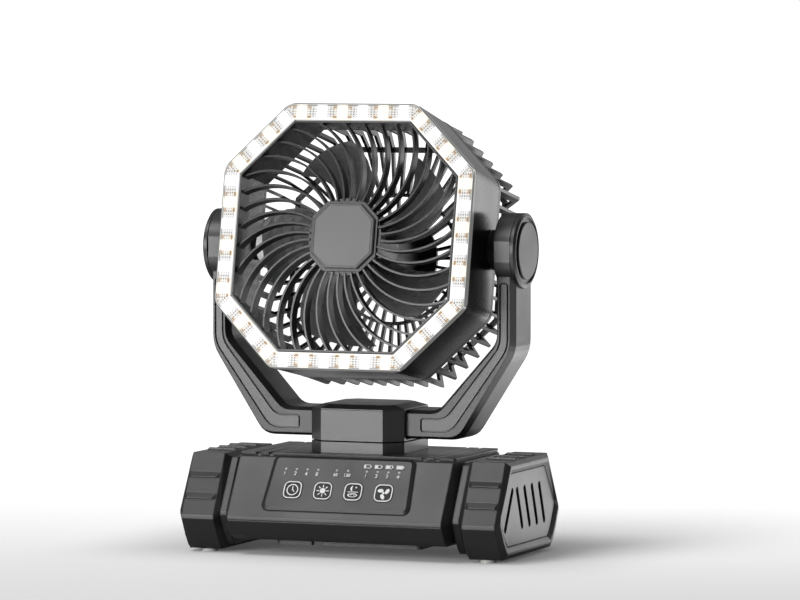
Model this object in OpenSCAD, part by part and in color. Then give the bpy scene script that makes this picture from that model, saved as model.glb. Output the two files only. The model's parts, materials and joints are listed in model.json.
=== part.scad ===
// Portable camping fan: an octagonal fan head with a ring light tilts in a yoke, the yoke swings
// on a neck, and a wide base holds the battery, the swing drive and the controls.
// Millimetres. Seen from the front, +X is to the right; the fan faces -Y and +Z is up.
// The origin is on the floor under the middle of the base, on the swing axis.

/* [Head] */
// Width of the octagonal head across its flats
head_w = 200; // [196:1:202]
// Leg of the corner cut that turns the square head into an octagon
head_corner = 48.5; // [44:0.5:54]
// Outer corner rounding of the head
head_round = 13; // [8:1:16]
// How far the ring light's face stands ahead of the tilt axis
head_front = 55; // [52:0.5:56]
// How far the head housing reaches behind the tilt axis
head_back = 4; // [2:0.5:6]
// How much the housing draws in on each side towards its rear
head_taper = 1.75; // [1:0.25:3]
// Wall of the air duct round the impeller
duct_wall = 7.5; // [6.5:0.25:8]
// Backward tilt of the head at rest
head_tilt = 11.5; // [0:0.5:20]

/* [Ring light] */
// Width of the ring light's lens
ring_w = 13; // [12:0.25:14]
// Depth of the lens with its skirts
lens_depth = 5; // [4.5:0.25:6]
// Wall of the lens
lens_wall = 1.6; // [1.2:0.1:2]
// Light chips on each long side of the ring
long_side_count = 6; // [4:1:8]
// Light chips on each corner side of the ring
corner_side_count = 4; // [2:1:5]
// Side of one light chip
led_size = 5; // [4:0.1:5.4]

/* [Front grille] */
// Number of curved vanes
front_vanes = 36; // [24:1:40]
// Thickness of a front vane
vane_t = 1.6; // [1.4:0.1:2]
// Depth of a front vane, front to back
vane_depth = 9; // [6:0.5:10]
// Bend radius of a front vane
vane_bend = 56; // [52:1:62]
// Lean of the front vanes, which domes the grille
vane_lean = 3; // [2:0.5:5]
// Thickness of the band that holds the vanes
band_t = 1.4; // [1.2:0.1:1.8]
// Width of the octagonal badge
badge_w = 48.5; // [44:0.5:52]

/* [Rear grille] */
// Number of bent ribs
rear_ribs = 56; // [40:8:64]
// Number of short ribs round the rear hub
hub_ribs = 32; // [24:8:40]
// Thickness of a rear rib
rib_t = 2.2; // [1.8:0.1:2.6]
// Depth of the rear cage behind the housing
cage_depth = 54.5; // [52:0.5:56]
// Width of a rib's leg, seen from behind
rib_leg = 4.6; // [4:0.2:5.4]

/* [Impeller] */
// Number of blades
blades = 5; // [3:1:6]
// Radius at the blade tips
blade_r = 77; // [70:1:80]
// Thickness of a blade
blade_t = 1.8; // [1.4:0.1:2.4]
// Radius of the impeller's hub
impeller_hub_r = 24; // [23:0.5:26]

/* [Yoke] */
// Height of the tilt axis above the floor
pivot_z = 228; // [228:0.5:240]
// Width over the outer sides of the yoke's arms
yoke_w = 244; // [243:0.5:250]
// Thickness of an arm, seen from the front
arm_t = 15.2; // [14.2:0.2:16.4]
// Depth of the yoke, front to back
yoke_depth = 41.4; // [38:0.2:44]
// Height of the yoke's crossbar
bar_h = 21.5; // [20:0.5:22]
// Width of the chamfer along the yoke's edges
yoke_edge = 2.9; // [2.4:0.1:3.3]
// Thickness of the yoke's rear cover
yoke_cover_t = 5; // [4.5:0.25:6]
// Radius of the round bosses at the pivots
boss_r = 27.9; // [26:0.1:29]
// How far a pivot cap stands out from the arm's outer side
cap_proud = 4.3; // [3.9:0.1:5]
// Radius of the tilt pins
pin_r = 8; // [6:0.5:9]

/* [Neck] */
// Width of the octagonal neck
neck_w = 74.4; // [70:0.4:78]
// Leg of the neck's corner cuts
neck_corner = 12.4; // [10:0.2:14]
// Height of the fixed collar
collar_h = 8.4; // [7:0.2:9]
// Gap between the collar and the swinging block
swing_gap = 0.8; // [0.6:0.1:1.2]
// Floor of the block under the crossbar
block_floor = 1.6; // [1.4:0.1:2.2]
// Height of the domed cover over the crossbar
dome_h = 3.8; // [3:0.2:4]
// Radius of the swivel spindle
spindle_r = 14; // [12:0.5:15]

/* [Base] */
// Width of the middle housing
body_w = 180; // [174:1:184]
// Width of the band between the middle housing and each end cap
band_w = 5.4; // [4:0.2:7]
// Width of each end cap
cap_w = 32.4; // [30:0.2:34]
// Height of the middle housing's top above the floor
body_top = 76; // [75.5:0.5:77]
// Depth of the middle housing at its ridge
body_depth = 149.6; // [144:0.4:156]
// Depth of the middle housing's top
body_top_depth = 93.6; // [90:0.4:98]
// Height of the ridge, where the front and rear faces are widest
ridge_z = 27; // [25:0.5:29]
// Height of the middle housing's underside
belly_z = 12; // [11.6:0.1:12.6]
// Wall of the base housing
base_wall = 2.6; // [2:0.1:3]
// Height of the end caps' tops above the floor
cap_top = 74; // [72:0.5:75]
// Depth of the end caps at their ridge
cap_depth = 137; // [134:0.5:140]
// Height of the feet
foot_h = 2.4; // [2:0.1:3]
// Radius of a foot
foot_r = 6; // [5:0.5:7]

/* [Controls] */
// Width of the control panel at its foot
panel_w = 117.6; // [112:0.4:122]
// Height of the control panel along the sloping face
panel_h = 45.2; // [43:0.2:46]
// Thickness of the control panel
panel_t = 3.4; // [3:0.1:3.6]
// Side of a button
button_size = 14.4; // [12:0.2:15]
// Distance between neighbouring buttons
button_pitch = 24.2; // [20:0.2:25]
// Travel of a button
button_travel = 0.8; // [0.5:0.1:0.9]

/* [Swing drive] */
// Size of the gear teeth
tooth_module = 1; // [1:0.02:1.06]
// Teeth of the gear on the swivel spindle
gear_teeth = 54; // [50:2:56]
// Teeth of the pinion on the swing motor
pinion_teeth = 18; // [18:2:20]

/* [Battery] */
// Diameter of a battery cell
cell_d = 18.4; // [18:0.1:20.4]

/* [Hanging hook] */
// Width of the folding hook over its legs
hook_w = 116; // [104:1:120]
// Thickness of the hook's bar
hook_t = 4.4; // [3.5:0.1:4.6]
// Reach of the hook from its hinge
hook_reach = 45; // [38:1:50]
// Width of the hook's mouth
hook_mouth = 9; // [7:0.5:11]

/* [Hidden] */
$fn = 64;
round_fn = 32;

// One overrun for every cut, and the fits
over = 1;
fit_gap = 0.3;
run_gap = 0.05;
tight_gap = 0.02;

// Colours of the finishes
dark = "#3a3a3b";
mid = "#4c4c4d";
pale = "#6a6a6b";
black = "#1d1d1e";
board_green = "#1d5a3a";
steel = "#b9bcc0";
glow = "#fff4dc";
amber = "#ffd08a";

// An octagon with the given half width and corner leg, and the same drawn in by d all round
function octagon(half, leg) = [
    [half - leg, half], [half, half - leg], [half, leg - half], [half - leg, -half],
    [leg - half, -half], [-half, leg - half], [-half, half - leg], [leg - half, half]
];
leg_share = 2 - sqrt(2);
function inset_octagon(half, leg, d) = octagon(half - d, leg - leg_share * d);

// Outline points drawn in by d at front and back and by rise above and below the height middle
function drawn_in(points, d, middle, rise) = [
    for (p = points)
        [p.x - sign(p.x) * d, p.y - sign(p.y - middle) * (is_undef(rise) ? d : rise)]
];
// A side profile that is the same in front and behind: each row is [depth, height]
function both_faces(rows) = concat(
    [for (r = rows) [r[0] / 2, r[1]]],
    [for (i = [len(rows) - 1:-1:0]) [-rows[i][0] / 2, rows[i][1]]]
);
function unit(v) = v / norm(v);

// A slab of a side profile (Y, Z) between two places on the X axis
module side_slab(points, x0, x1) {
    translate([x0, 0, 0]) rotate([90, 0, 90]) linear_extrude(x1 - x0) polygon(points);
}

module along_x(x0) {
    translate([x0, 0, 0]) rotate([0, 90, 0]) children();
}

module on_side(side) {
    mirror([side < 0 ? 1 : 0, 0, 0]) children();
}

module both_sides() {
    on_side(1) children();
    on_side(-1) children();
}

// Middle housing of the base

body_half = body_w / 2;
body_end_cut = 4.8;
body_end_draw = 10.8;
body_end_drop = 3.6;
body_skirt = 135.8;
body_skirt_rise = 3.5;
body_belly_depth = 124;
ridge_h = 3;
body_rows = [
    [body_belly_depth, belly_z], [body_skirt, belly_z + body_skirt_rise],
    [body_depth, ridge_z], [body_depth, ridge_z + ridge_h], [body_top_depth, body_top]
];
body_profile = both_faces(body_rows);
body_middle = (belly_z + body_top) / 2;
top_groove_w = 2.6;
top_groove_depth = 1.2;
top_groove_x = [60, 70];
seam_top = 1.2;
seam_h = 2;
seam_depth = 1.2;

module body_solid(d) {
    hull() {
        side_slab(drawn_in(body_profile, d, body_middle),
            body_end_cut - body_half, body_half - body_end_cut);
        side_slab(drawn_in(body_profile, body_end_draw + d, body_middle, body_end_drop + d),
            d - body_half, body_half - d);
    }
}

module body_shell(z0, z1) {
    intersection() {
        difference() {
            body_solid(0);
            body_solid(base_wall);
        }
        translate([-body_w, -body_depth, z0]) cube([2 * body_w, 2 * body_depth, z1 - z0]);
    }
}

// The sloping front face: x along it, y up it from the ridge, z out of it
slope_rise = body_top - ridge_z - ridge_h;
slope_run = (body_depth - body_top_depth) / 2;
slope_angle = atan2(slope_rise, slope_run);
slope_foot_y = body_depth / 2 + ridge_h * slope_run / slope_rise;
slope_len = norm([body_top - ridge_z, slope_foot_y - body_top_depth / 2]);

module on_front_slope() {
    translate([0, -slope_foot_y, ridge_z]) rotate([slope_angle, 0, 0]) children();
}
module on_rear_slope() {
    rotate([0, 0, 180]) on_front_slope() children();
}

// Control panel with its buttons, lights and board

panel_top_gap = 2.6;
panel_foot = slope_len - panel_h - panel_top_gap;
panel_draw = 2.8;
panel_round = 5;
panel_proud = 1.8;
panel_edge = 2.4;
panel_rise = 1.5;
panel_ledge = 3.5;
panel_back = panel_proud - panel_t;
button_y = 26;
button_round = 4;
button_count = 4;
button_x = [for (i = [0:button_count - 1]) (i - (button_count - 1) / 2) * button_pitch];
button_clear = 0.25;
button_proud = 2.2;
button_t = 5.7;
stand_r = 2.2;
stand_h = 4;
board_t = 1.6;
switch_w = 6;
switch_h = 0.9;
panel_stand_edge = 7;
panel_stand_side = 10;
light_r = 0.9;
light_row_y = 43.3;
timer_light_x = [-45.2, -36.6, -28, -19.4];
swing_light_x = [-4.5, 4.5];
battery_light_x = [19.4, 28, 36.6, 45.2];
panel_holes = concat(timer_light_x, swing_light_x, battery_light_x);

module panel_outline(d) {
    offset(r = panel_round - d, $fn = round_fn) offset(delta = -panel_round)
        polygon([
            [-panel_w / 2, panel_foot], [panel_w / 2, panel_foot],
            [panel_w / 2 - panel_draw, panel_foot + panel_h],
            [panel_draw - panel_w / 2, panel_foot + panel_h]
        ]);
}

module button_outline(clear) {
    offset(r = button_round + clear, $fn = round_fn) offset(delta = -button_round)
        square(button_size, center = true);
}

module at_button(i) {
    on_front_slope() translate([button_x[i], button_y, 0]) children();
}

module base_upper_shell() {
    color(dark) difference() {
        union() {
            body_shell(ridge_z, body_top + over);
            for (y = [-motor_boss_y, motor_boss_y])
                translate([gear_distance, y, gear_z - gear_t - motor_boss_h])
                    cylinder(r = motor_boss_r, h = motor_boss_h + gear_t + over + ceiling_gap);
        }
        // recess and window of the control panel
        on_front_slope() translate([0, 0, panel_back]) linear_extrude(panel_t + over)
            panel_outline(-fit_gap);
        on_front_slope() translate([0, 0, -base_wall - over - panel_t])
            linear_extrude(base_wall + over + panel_t) panel_outline(panel_ledge);
        // window of the port plate
        on_rear_slope() translate([0, port_y, -port_t - fit_gap + port_proud])
            linear_extrude(port_t + over) port_outline(-fit_gap);
        on_rear_slope() translate([0, port_y, -base_wall - over - port_t])
            linear_extrude(base_wall + over + port_t) port_outline(port_ledge);
        // seam under the top
        difference() {
            translate([-body_w, -body_depth, body_top - seam_top - seam_h])
                cube([2 * body_w, 2 * body_depth, seam_h]);
            body_solid(seam_depth);
        }
        // spindle hole
        translate([0, 0, body_top - base_wall - over])
            cylinder(r = spindle_r + fit_gap, h = base_wall + 2 * over);
        // grooves across the top at both ends
        for (x = top_groove_x) both_sides()
            translate([x, -body_depth / 2, body_top - top_groove_depth])
                cube([top_groove_w, body_depth, top_groove_depth + over]);
    }
}

module base_lower_shell() {
    color(dark) difference() {
        union() {
            body_shell(belly_z - over, ridge_z);
            both_sides() translate([lug_x, -lug_depth / 2, belly_z - lug_h])
                cube([lug_t, lug_depth, lug_h + base_wall / 2]);
        }
        both_sides() translate([lug_x - over, 0, hook_z]) rotate([0, 90, 0])
            cylinder(r = hook_pin_r + tight_gap, h = lug_t + 2 * over);
    }
}

module control_panel() {
    color(mid) on_front_slope() {
        translate([0, 0, panel_back]) difference() {
            hull() {
                linear_extrude(panel_t - panel_rise) panel_outline(0);
                linear_extrude(panel_t) panel_outline(panel_edge);
            }
            translate([0, 0, -over]) linear_extrude(panel_t + 2 * over) {
                for (x = button_x) translate([x, button_y]) button_outline(button_clear);
                for (x = panel_holes) translate([x, light_row_y]) circle(light_r + tight_gap);
            }
        }
        for (x = [-1, 1], y = [panel_foot + panel_stand_edge, panel_foot + panel_h - panel_stand_edge])
            translate([x * (panel_w / 2 - panel_stand_side), y, panel_back - stand_h])
                cylinder(r = stand_r, h = stand_h + panel_t / 2);
    }
}

module indicator_lights() {
    color(glow) on_front_slope() for (x = panel_holes)
        translate([x, light_row_y, panel_back]) cylinder(r = light_r, h = panel_t + tight_gap);
}

module control_board() {
    color(board_green) on_front_slope() {
        translate([-panel_w / 2 + panel_ledge + panel_draw, panel_foot + panel_ledge,
                panel_back - stand_h - board_t])
            cube([panel_w - 2 * (panel_ledge + panel_draw), panel_h - 2 * panel_ledge, board_t]);
        for (x = button_x)
            translate([x - switch_w / 2, button_y - switch_w / 2, panel_back - stand_h - board_t / 2])
            cube([switch_w, switch_w, board_t / 2 + switch_h]);
    }
}

module button(i) {
    color(mid) at_button(i) translate([0, 0, button_proud - button_t])
        linear_extrude(button_t) button_outline(0);
}
module timer_button() button(0);
module light_button() button(1);
module swing_button() button(2);
module fan_button() button(3);

// Port plate with its two sockets on the rear slope

port_w = 46;
port_h = 16;
port_t = 2.2;
port_y = 28;
port_ledge = 2;
port_proud = 0.4;
port_round = 3;
usb_a_w = 13.2;
usb_a_h = 6;
usb_c_w = 9.4;
usb_c_h = 3.8;
usb_depth = 10;
usb_wall = 0.4;
usb_x = 10;

module port_outline(d) {
    offset(r = port_round - d, $fn = round_fn) offset(delta = -port_round)
        square([port_w, port_h], center = true);
}
module usb_a_outline(d) {
    square([usb_a_w - 2 * d, usb_a_h - 2 * d], center = true);
}
module usb_c_outline(d) {
    offset(r = usb_c_h / 2 - d, $fn = round_fn) square([usb_c_w - usb_c_h, tight_gap], center = true);
}
module socket(x) {
    color(steel) on_rear_slope() translate([x, port_y, port_proud - usb_depth]) children();
}
module usb_a_socket() {
    socket(-usb_x) difference() {
        linear_extrude(usb_depth) usb_a_outline(0);
        translate([0, 0, usb_wall]) linear_extrude(usb_depth) usb_a_outline(usb_wall);
    }
}
module usb_c_socket() {
    socket(usb_x) difference() {
        linear_extrude(usb_depth) usb_c_outline(0);
        translate([0, 0, usb_wall]) linear_extrude(usb_depth) usb_c_outline(usb_wall);
    }
}
module port_plate() {
    color(black) on_rear_slope() translate([0, port_y, port_proud - port_t])
        linear_extrude(port_t) difference() {
            port_outline(0);
            translate([-usb_x, 0]) usb_a_outline(-run_gap);
            translate([usb_x, 0]) usb_c_outline(-run_gap);
        }
}

// End caps with grip steps, vent panels and bands

cap_start = body_half + band_w;
cap_end = cap_start + cap_w;
cap_edge = 3;
cap_edge_draw = 4.6;
cap_inner_edge = 3.8;
cap_inner_draw = 4.5;
cap_drop = 3.2;
cap_top_depth = 91;
cap_ridge_z = 26;
cap_skirt = 123;
cap_skirt_z = 13;
cap_sill = 112;
cap_sill_z = 5.6;
cap_sole = 104;
cap_middle = (cap_top + foot_h) / 2;
cap_profile = both_faces([
    [cap_sole, foot_h], [cap_sill, cap_sill_z], [cap_skirt, cap_skirt_z],
    [cap_depth, cap_ridge_z], [cap_depth, cap_ridge_z + ridge_h], [cap_top_depth, cap_top]
]);
vent_frame = 9;
vent_t = 2;
vent_sunk = 2;
vent_slope = 3.4;
vent_pocket = 8;
vent_rim = 3;
slot_w = 4.8;
slot_lean = 22;
first_slot_lean = 29;
slot_pitch = 16.2;
slot_top = 52;
slot_foot = 24.5;
slot_count = 4;
slot_first_y = -17;
slot_shift = 5.9;
grip_depth = 1.7;
grip_side = 3.4;
grip_end = 2;
grip_sunk = 0.4;
grip_rows = [[61.4, 55.8], [46.7, 40.4]];
top_grip_y = [-20, 0, 20];
top_grip_w = 14;
cap_face_rise = cap_top - cap_ridge_z - ridge_h;
cap_face_run = (cap_depth - cap_top_depth) / 2;
cap_face_out = [cap_face_rise, cap_face_run] / norm([cap_face_rise, cap_face_run]);

// A place on the cap's sloping face at a height
function cap_face(z) = [cap_top_depth / 2 + cap_face_run * (cap_top - z) / cap_face_rise, z];

module cap_blank() {
    hull() {
        side_slab(drawn_in(cap_profile, cap_inner_draw, cap_middle, cap_drop),
            cap_start, cap_end - cap_edge);
        side_slab(cap_profile, cap_start + cap_inner_edge, cap_end - cap_edge);
        side_slab(drawn_in(cap_profile, cap_edge_draw, cap_middle, cap_drop),
            cap_start + cap_inner_edge, cap_end);
    }
}

// A wedge that rises from the cap's skin at a to stand proud at b
module grip(a, b, out) {
    hull() {
        side_slab([
            a - grip_depth * out, a - grip_sunk * out, b - grip_sunk * out, b - grip_depth * out
        ], cap_start + cap_inner_edge, cap_end - cap_edge);
        side_slab([a - grip_sunk * out, b + grip_depth * out, b - grip_sunk * out],
            cap_start + cap_inner_edge + grip_side, cap_end - cap_edge - grip_end);
    }
}

module end_cap(side) {
    color(mid) on_side(side) difference() {
        union() {
            cap_blank();
            for (row = grip_rows) {
                grip(cap_face(row[0]), cap_face(row[1]), cap_face_out);
                mirror([0, 1, 0]) grip(cap_face(row[0]), cap_face(row[1]), cap_face_out);
            }
            for (y = top_grip_y) grip([y + top_grip_w, cap_top], [y, cap_top], [0, 1]);
        }
        side_slab(drawn_in(cap_profile, vent_frame - fit_gap, cap_middle),
            cap_end - vent_t - vent_sunk, cap_end + over);
        hull() {
            side_slab(drawn_in(cap_profile, vent_frame - fit_gap, cap_middle),
                cap_end - vent_sunk, cap_end + over);
            side_slab(drawn_in(cap_profile, vent_frame - vent_slope, cap_middle),
                cap_end, cap_end + over);
        }
        side_slab(drawn_in(cap_profile, vent_frame + vent_rim, cap_middle),
            cap_end - vent_t - vent_sunk - vent_pocket, cap_end);
    }
}
module left_end_cap() end_cap(-1);
module right_end_cap() end_cap(1);

module vent_slot(y, lean) {
    drift = (slot_top - slot_foot) * tan(lean);
    translate([cap_end - vent_t - vent_sunk - over, 0, 0]) rotate([90, 0, 90])
        linear_extrude(vent_t + vent_sunk + over) hull() {
            translate([y, slot_top]) circle(slot_w / 2, $fn = 16);
            translate([y + drift, slot_foot]) circle(slot_w / 2, $fn = 16);
        }
}
module vent_panel(side) {
    color(mid) on_side(side) difference() {
        side_slab(drawn_in(cap_profile, vent_frame, cap_middle),
            cap_end - vent_t - vent_sunk, cap_end - vent_sunk);
        for (i = [0:slot_count - 1]) vent_slot(slot_first_y + i * slot_pitch - slot_shift, slot_lean);
        vent_slot(slot_first_y - slot_pitch, -first_slot_lean);
    }
}
module left_vent_panel() vent_panel(-1);
module right_vent_panel() vent_panel(1);

module end_band(side) {
    color(dark) on_side(side)
        side_slab(drawn_in(cap_profile, cap_inner_draw, cap_middle, cap_drop), body_half, cap_start);
}
module left_end_band() end_band(-1);
module right_end_band() end_band(1);

foot_x = cap_end - cap_w / 2;
foot_y = cap_sole / 2 - foot_r - over;
module feet() {
    color(glow) both_sides() for (y = [-foot_y, foot_y])
        translate([foot_x, y, 0]) cylinder(r = foot_r, h = foot_h);
}

// Battery under the swing drive

tray_t = 1.8;
tray_wall = 1.6;
cell_gap = 1.2;
cell_rows = 3;
cell_spare = 14.5;
cell_l = body_half - base_wall - body_end_cut - tray_wall - fit_gap - cell_gap - cell_spare;
cell_z = belly_z + base_wall + tray_t + fit_gap + cell_d / 2;
cell_pitch = cell_d + cell_gap;

module battery_cells() {
    color("#3f6f9f") both_sides() for (i = [0:cell_rows - 1])
        translate([cell_gap, (i - (cell_rows - 1) / 2) * cell_pitch, cell_z])
            rotate([0, 90, 0]) cylinder(r = cell_d / 2, h = cell_l);
}
module battery_tray() {
    tray_x = cell_l + cell_gap + fit_gap + tray_wall;
    tray_y = cell_rows * cell_pitch / 2 + tray_wall;
    color(black) translate([-tray_x, -tray_y, belly_z + base_wall]) difference() {
        cube([2 * tray_x, 2 * tray_y, tray_t + cell_d / 2]);
        translate([tray_wall, tray_wall, tray_t])
            cube([2 * (tray_x - tray_wall), 2 * (tray_y - tray_wall), cell_d]);
    }
}

// Swing drive: a gear on the spindle, turned by a pinion on the swing motor

gear_t = 6;
ceiling_gap = 1.4;
gear_z = body_top - base_wall - ceiling_gap;
gear_distance = tooth_module * (gear_teeth + pinion_teeth) / 2;
pressure_angle = 20;
tooth_ease = 0.12;
addendum_share = 0.9;
dedendum_share = 1.2;
motor_boss_r = 3;
motor_boss_y = 14;
motor_boss_h = 2;
motor_flange_t = 2.2;
swing_motor_r = 12;
swing_motor_h = 22;
motor_pin_r = 2;

// Involute tooth: the turn of the flank at radius r, seen from the tooth's middle
function involute(r, base) = let (a = acos(base / max(r, base))) tan(a) * 180 / PI - a;
function flank(r, teeth) = let (
    pitch = tooth_module * teeth / 2,
    base = pitch * cos(pressure_angle)
) 90 / teeth - tooth_ease / pitch * 180 / PI
    + involute(pitch, base) - involute(max(r, base), base);
function gear_outline(teeth, turn) = let (
    pitch = tooth_module * teeth / 2,
    tip = pitch + addendum_share * tooth_module,
    root = pitch - dedendum_share * tooth_module,
    radii = [root, (pitch + root) / 2, pitch, tip]
) [
    for (i = [0:teeth - 1], s = [-1, 1], k = [0:len(radii) - 1])
        let (
            r = s < 0 ? radii[k] : radii[len(radii) - 1 - k],
            a = turn + 360 * i / teeth + s * flank(r, teeth)
        ) [r * cos(a), r * sin(a)]
];

module swing_gear() {
    color("#d9d6cc") translate([0, 0, gear_z - gear_t]) difference() {
        linear_extrude(gear_t) polygon(gear_outline(gear_teeth, 0));
        translate([0, 0, -over]) cylinder(r = spindle_r + tight_gap, h = gear_t + 2 * over);
    }
}
module swing_pinion() {
    color("#d9d6cc") translate([gear_distance, 0, gear_z - gear_t]) {
        linear_extrude(gear_t) polygon(gear_outline(pinion_teeth, 180 + 180 / pinion_teeth));
        translate([0, 0, -motor_boss_h - motor_flange_t]) cylinder(r = motor_pin_r, h = gear_t);
    }
}
module swing_motor() {
    color(steel) translate([gear_distance, 0, gear_z - gear_t - motor_boss_h - motor_flange_t])
        difference() {
            union() {
                translate([-motor_boss_r, -motor_boss_y - motor_boss_r, 0])
                    cube([2 * motor_boss_r, 2 * (motor_boss_y + motor_boss_r), motor_flange_t]);
                translate([0, 0, -swing_motor_h])
                    cylinder(r = swing_motor_r, h = swing_motor_h + motor_flange_t);
            }
            translate([0, 0, -over])
                cylinder(r = motor_pin_r + run_gap, h = motor_flange_t + 2 * over);
        }
}

// Folding hanging hook under the base

hook_bar = 5;
hook_z = belly_z - fit_gap * 2 - hook_t / 2;
hook_eye_wall = 0.3;
hook_eye_r = hook_t / 2 + hook_eye_wall;
hook_pin_r = 1.2;
hook_round = 4;
hook_mouth_x = -24.5;
lug_t = 4.5;
lug_depth = 9;
lug_h = 5.6;
lug_x = hook_w / 2 + fit_gap;

module hanging_hook() {
    color(pale) translate([0, 0, hook_z]) difference() {
        union() {
            translate([0, 0, -hook_t / 2]) linear_extrude(hook_t) difference() {
                offset(r = hook_round, $fn = round_fn) offset(delta = -hook_round)
                    polygon([
                        [-hook_w / 2, 0], [-hook_w / 2, -hook_reach],
                        [hook_w / 2, -hook_reach], [hook_w / 2, 0]
                    ]);
                translate([hook_bar - hook_w / 2, hook_bar - hook_reach])
                    square([hook_w - 2 * hook_bar, hook_reach - hook_bar - hook_t / 2]);
                translate([hook_mouth_x - hook_mouth / 2, -hook_reach - over])
                    square([hook_mouth, hook_bar + 2 * over]);
            }
            both_sides() along_x(hook_w / 2 - hook_bar) cylinder(r = hook_eye_r, h = hook_bar);
        }
        both_sides() along_x(hook_w / 2 - hook_bar - over)
            cylinder(r = hook_pin_r + run_gap, h = hook_bar + 2 * over);
    }
}
module hook_pins() {
    color(steel) both_sides() translate([0, 0, hook_z])
        along_x(hook_w / 2 - hook_bar) cylinder(r = hook_pin_r, h = hook_bar + fit_gap + lug_t);
}

// Neck: a fixed collar, the swinging block and the spindle

neck_half = neck_w / 2;
neck_edge = 1;
collar_top = body_top + collar_h;
block_z = collar_top + swing_gap;
bar_z = block_z + block_floor;
bar_top = bar_z + bar_h;
washer_w = 7;
stub_r = 10;
stub_h = 12;
dome_draw = 9;
spindle_foot = gear_z - gear_t - motor_boss_h;

module neck_collar() {
    color(mid) translate([0, 0, body_top]) difference() {
        linear_extrude(collar_h) polygon(octagon(neck_half, neck_corner));
        translate([0, 0, -over]) cylinder(r = spindle_r + run_gap, h = collar_h + 2 * over);
    }
}
module spindle_washer() {
    color(steel) translate([0, 0, collar_top]) difference() {
        cylinder(r = spindle_r + washer_w, h = swing_gap - run_gap);
        translate([0, 0, -over]) cylinder(r = spindle_r + run_gap, h = swing_gap + 2 * over);
    }
}
module swivel_spindle() {
    color(steel) {
        translate([0, 0, spindle_foot]) cylinder(r = spindle_r, h = block_z - spindle_foot);
        translate([0, 0, spindle_foot])
            cylinder(r = stub_r, h = bar_z + stub_h - spindle_foot);
    }
}
module neck_block() {
    color(mid) difference() {
        translate([0, 0, block_z]) linear_extrude(bar_top - block_z)
            polygon(octagon(neck_half, neck_corner));
        translate([-neck_w, -yoke_depth / 2 - fit_gap, bar_z - fit_gap])
            cube([2 * neck_w, yoke_depth + 2 * fit_gap, bar_h + over]);
        translate([0, 0, block_z - over])
            cylinder(r = stub_r + tight_gap, h = block_floor + 2 * over);
    }
}
module neck_cover() {
    color(dark) translate([0, 0, bar_top]) hull() {
        linear_extrude(neck_edge) polygon(octagon(neck_half, neck_corner));
        linear_extrude(dome_h) polygon(inset_octagon(neck_half, neck_corner, dome_draw));
    }
}

// Yoke: one chamfered bar that runs up both arms, with a rear cover and inlays

arm_out = yoke_w / 2;
arm_in = arm_out - arm_t;
bend_z = 153;
corner_x = 80;
outer_ease = 8.5;
inner_bend_z = 160.3;
inner_corner_x = 60.8;
inner_ease = 6;
edge_slope = 2.2;
rear_edge_slope = 1.2;
bend_steps = 4;
yoke_split = yoke_depth / 2 - yoke_cover_t;

outer_corners = [[arm_out, pivot_z], [arm_out, bend_z], [corner_x, bar_z], [0, bar_z]];
inner_corners = [
    [arm_in, pivot_z], [arm_in, inner_bend_z], [inner_corner_x, bar_top], [0, bar_top]
];

// A path with each inner corner eased by a short curve
function ease(a, b, c, d) = let (p = b + d * unit(a - b), q = b + d * unit(c - b)) [
    for (i = [0:bend_steps]) let (t = i / bend_steps)
        (1 - t) * (1 - t) * p + 2 * t * (1 - t) * b + t * t * q
];
function eased(c, d) = concat(
    [c[0]], ease(c[0], c[1], c[2], d), ease(c[1], c[2], c[3], d)
);
function mirrored(path) = [for (i = [len(path) - 1:-1:0]) [-path[i].x, path[i].y]];
function whole(c, d) = concat(eased(c, d), mirrored(eased(c, d)));
outer_path = whole(outer_corners, outer_ease);
inner_path = whole(inner_corners, inner_ease);

// One cross section of the bar at station i, from y0 to y1 with chamfers c0 and c1,
// which reach d0 and d1 deep
function bar_section(i, y0, y1, c0, c1, d0, d1) = let (
    o = outer_path[i],
    m = inner_path[i],
    e = unit(o - m)
) [
    for (p = concat(
        c0 > 0 ? [[m + c0 * e, y0], [o - c0 * e, y0], [o, y0 + d0]] : [[m, y0], [o, y0]],
        c1 > 0 ? [[o, y1 - d1], [o - c1 * e, y1], [m + c1 * e, y1], [m, y1 - d1]]
            : [[o, y1], [m, y1]],
        c0 > 0 ? [[m, y0 + d0]] : []
    )) [p[0].x, p[1], p[0].y]
];
module yoke_bar(y0, y1, c0, c1) {
    n = len(outer_path);
    points = [for (i = [0:n - 1])
        each bar_section(i, y0, y1, c0, c1, c0 * edge_slope, c1 * rear_edge_slope)];
    ring = len(points) / n;
    faces = concat(
        [[for (k = [ring - 1:-1:0]) k]],
        [[for (k = [0:ring - 1]) (n - 1) * ring + k]],
        [for (i = [0:n - 2], k = [0:ring - 1], t = [0, 1])
            let (a = i * ring + k, b = i * ring + (k + 1) % ring)
            t == 0 ? [a, b, b + ring] : [a, b + ring, a + ring]]
    );
    polyhedron(points, faces, convexity = 6);
}

groove_w = 1.1;
inlay_t = 1.6;
inlay_w = 4.6;
inlay_foot_w = 8;
inlay_ease = 7;
inlay_top_z = 203.5;
inlay_end_x = 49.6;

// The inlay's strip on the right half: down the arm, along the slant, into the crossbar
function mix(a, b, s) = a + (b - a) * s;
mid_corners = [for (i = [0:3]) mix(inner_corners[i], outer_corners[i], 1 / 2)];
strip_corners = [
    [mid_corners[0].x, inlay_top_z], mid_corners[1], mid_corners[2], [inlay_end_x, mid_corners[3].y]
];
function side_step(c, i, d) = let (
    a = i == 0 ? unit(c[1] - c[0]) : unit(c[i] - c[i - 1]),
    b = i == len(c) - 1 ? a : unit(c[i + 1] - c[i]),
    m = unit(a + b)
) c[i] + d / (m * a) * [-m.y, m.x];

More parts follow.
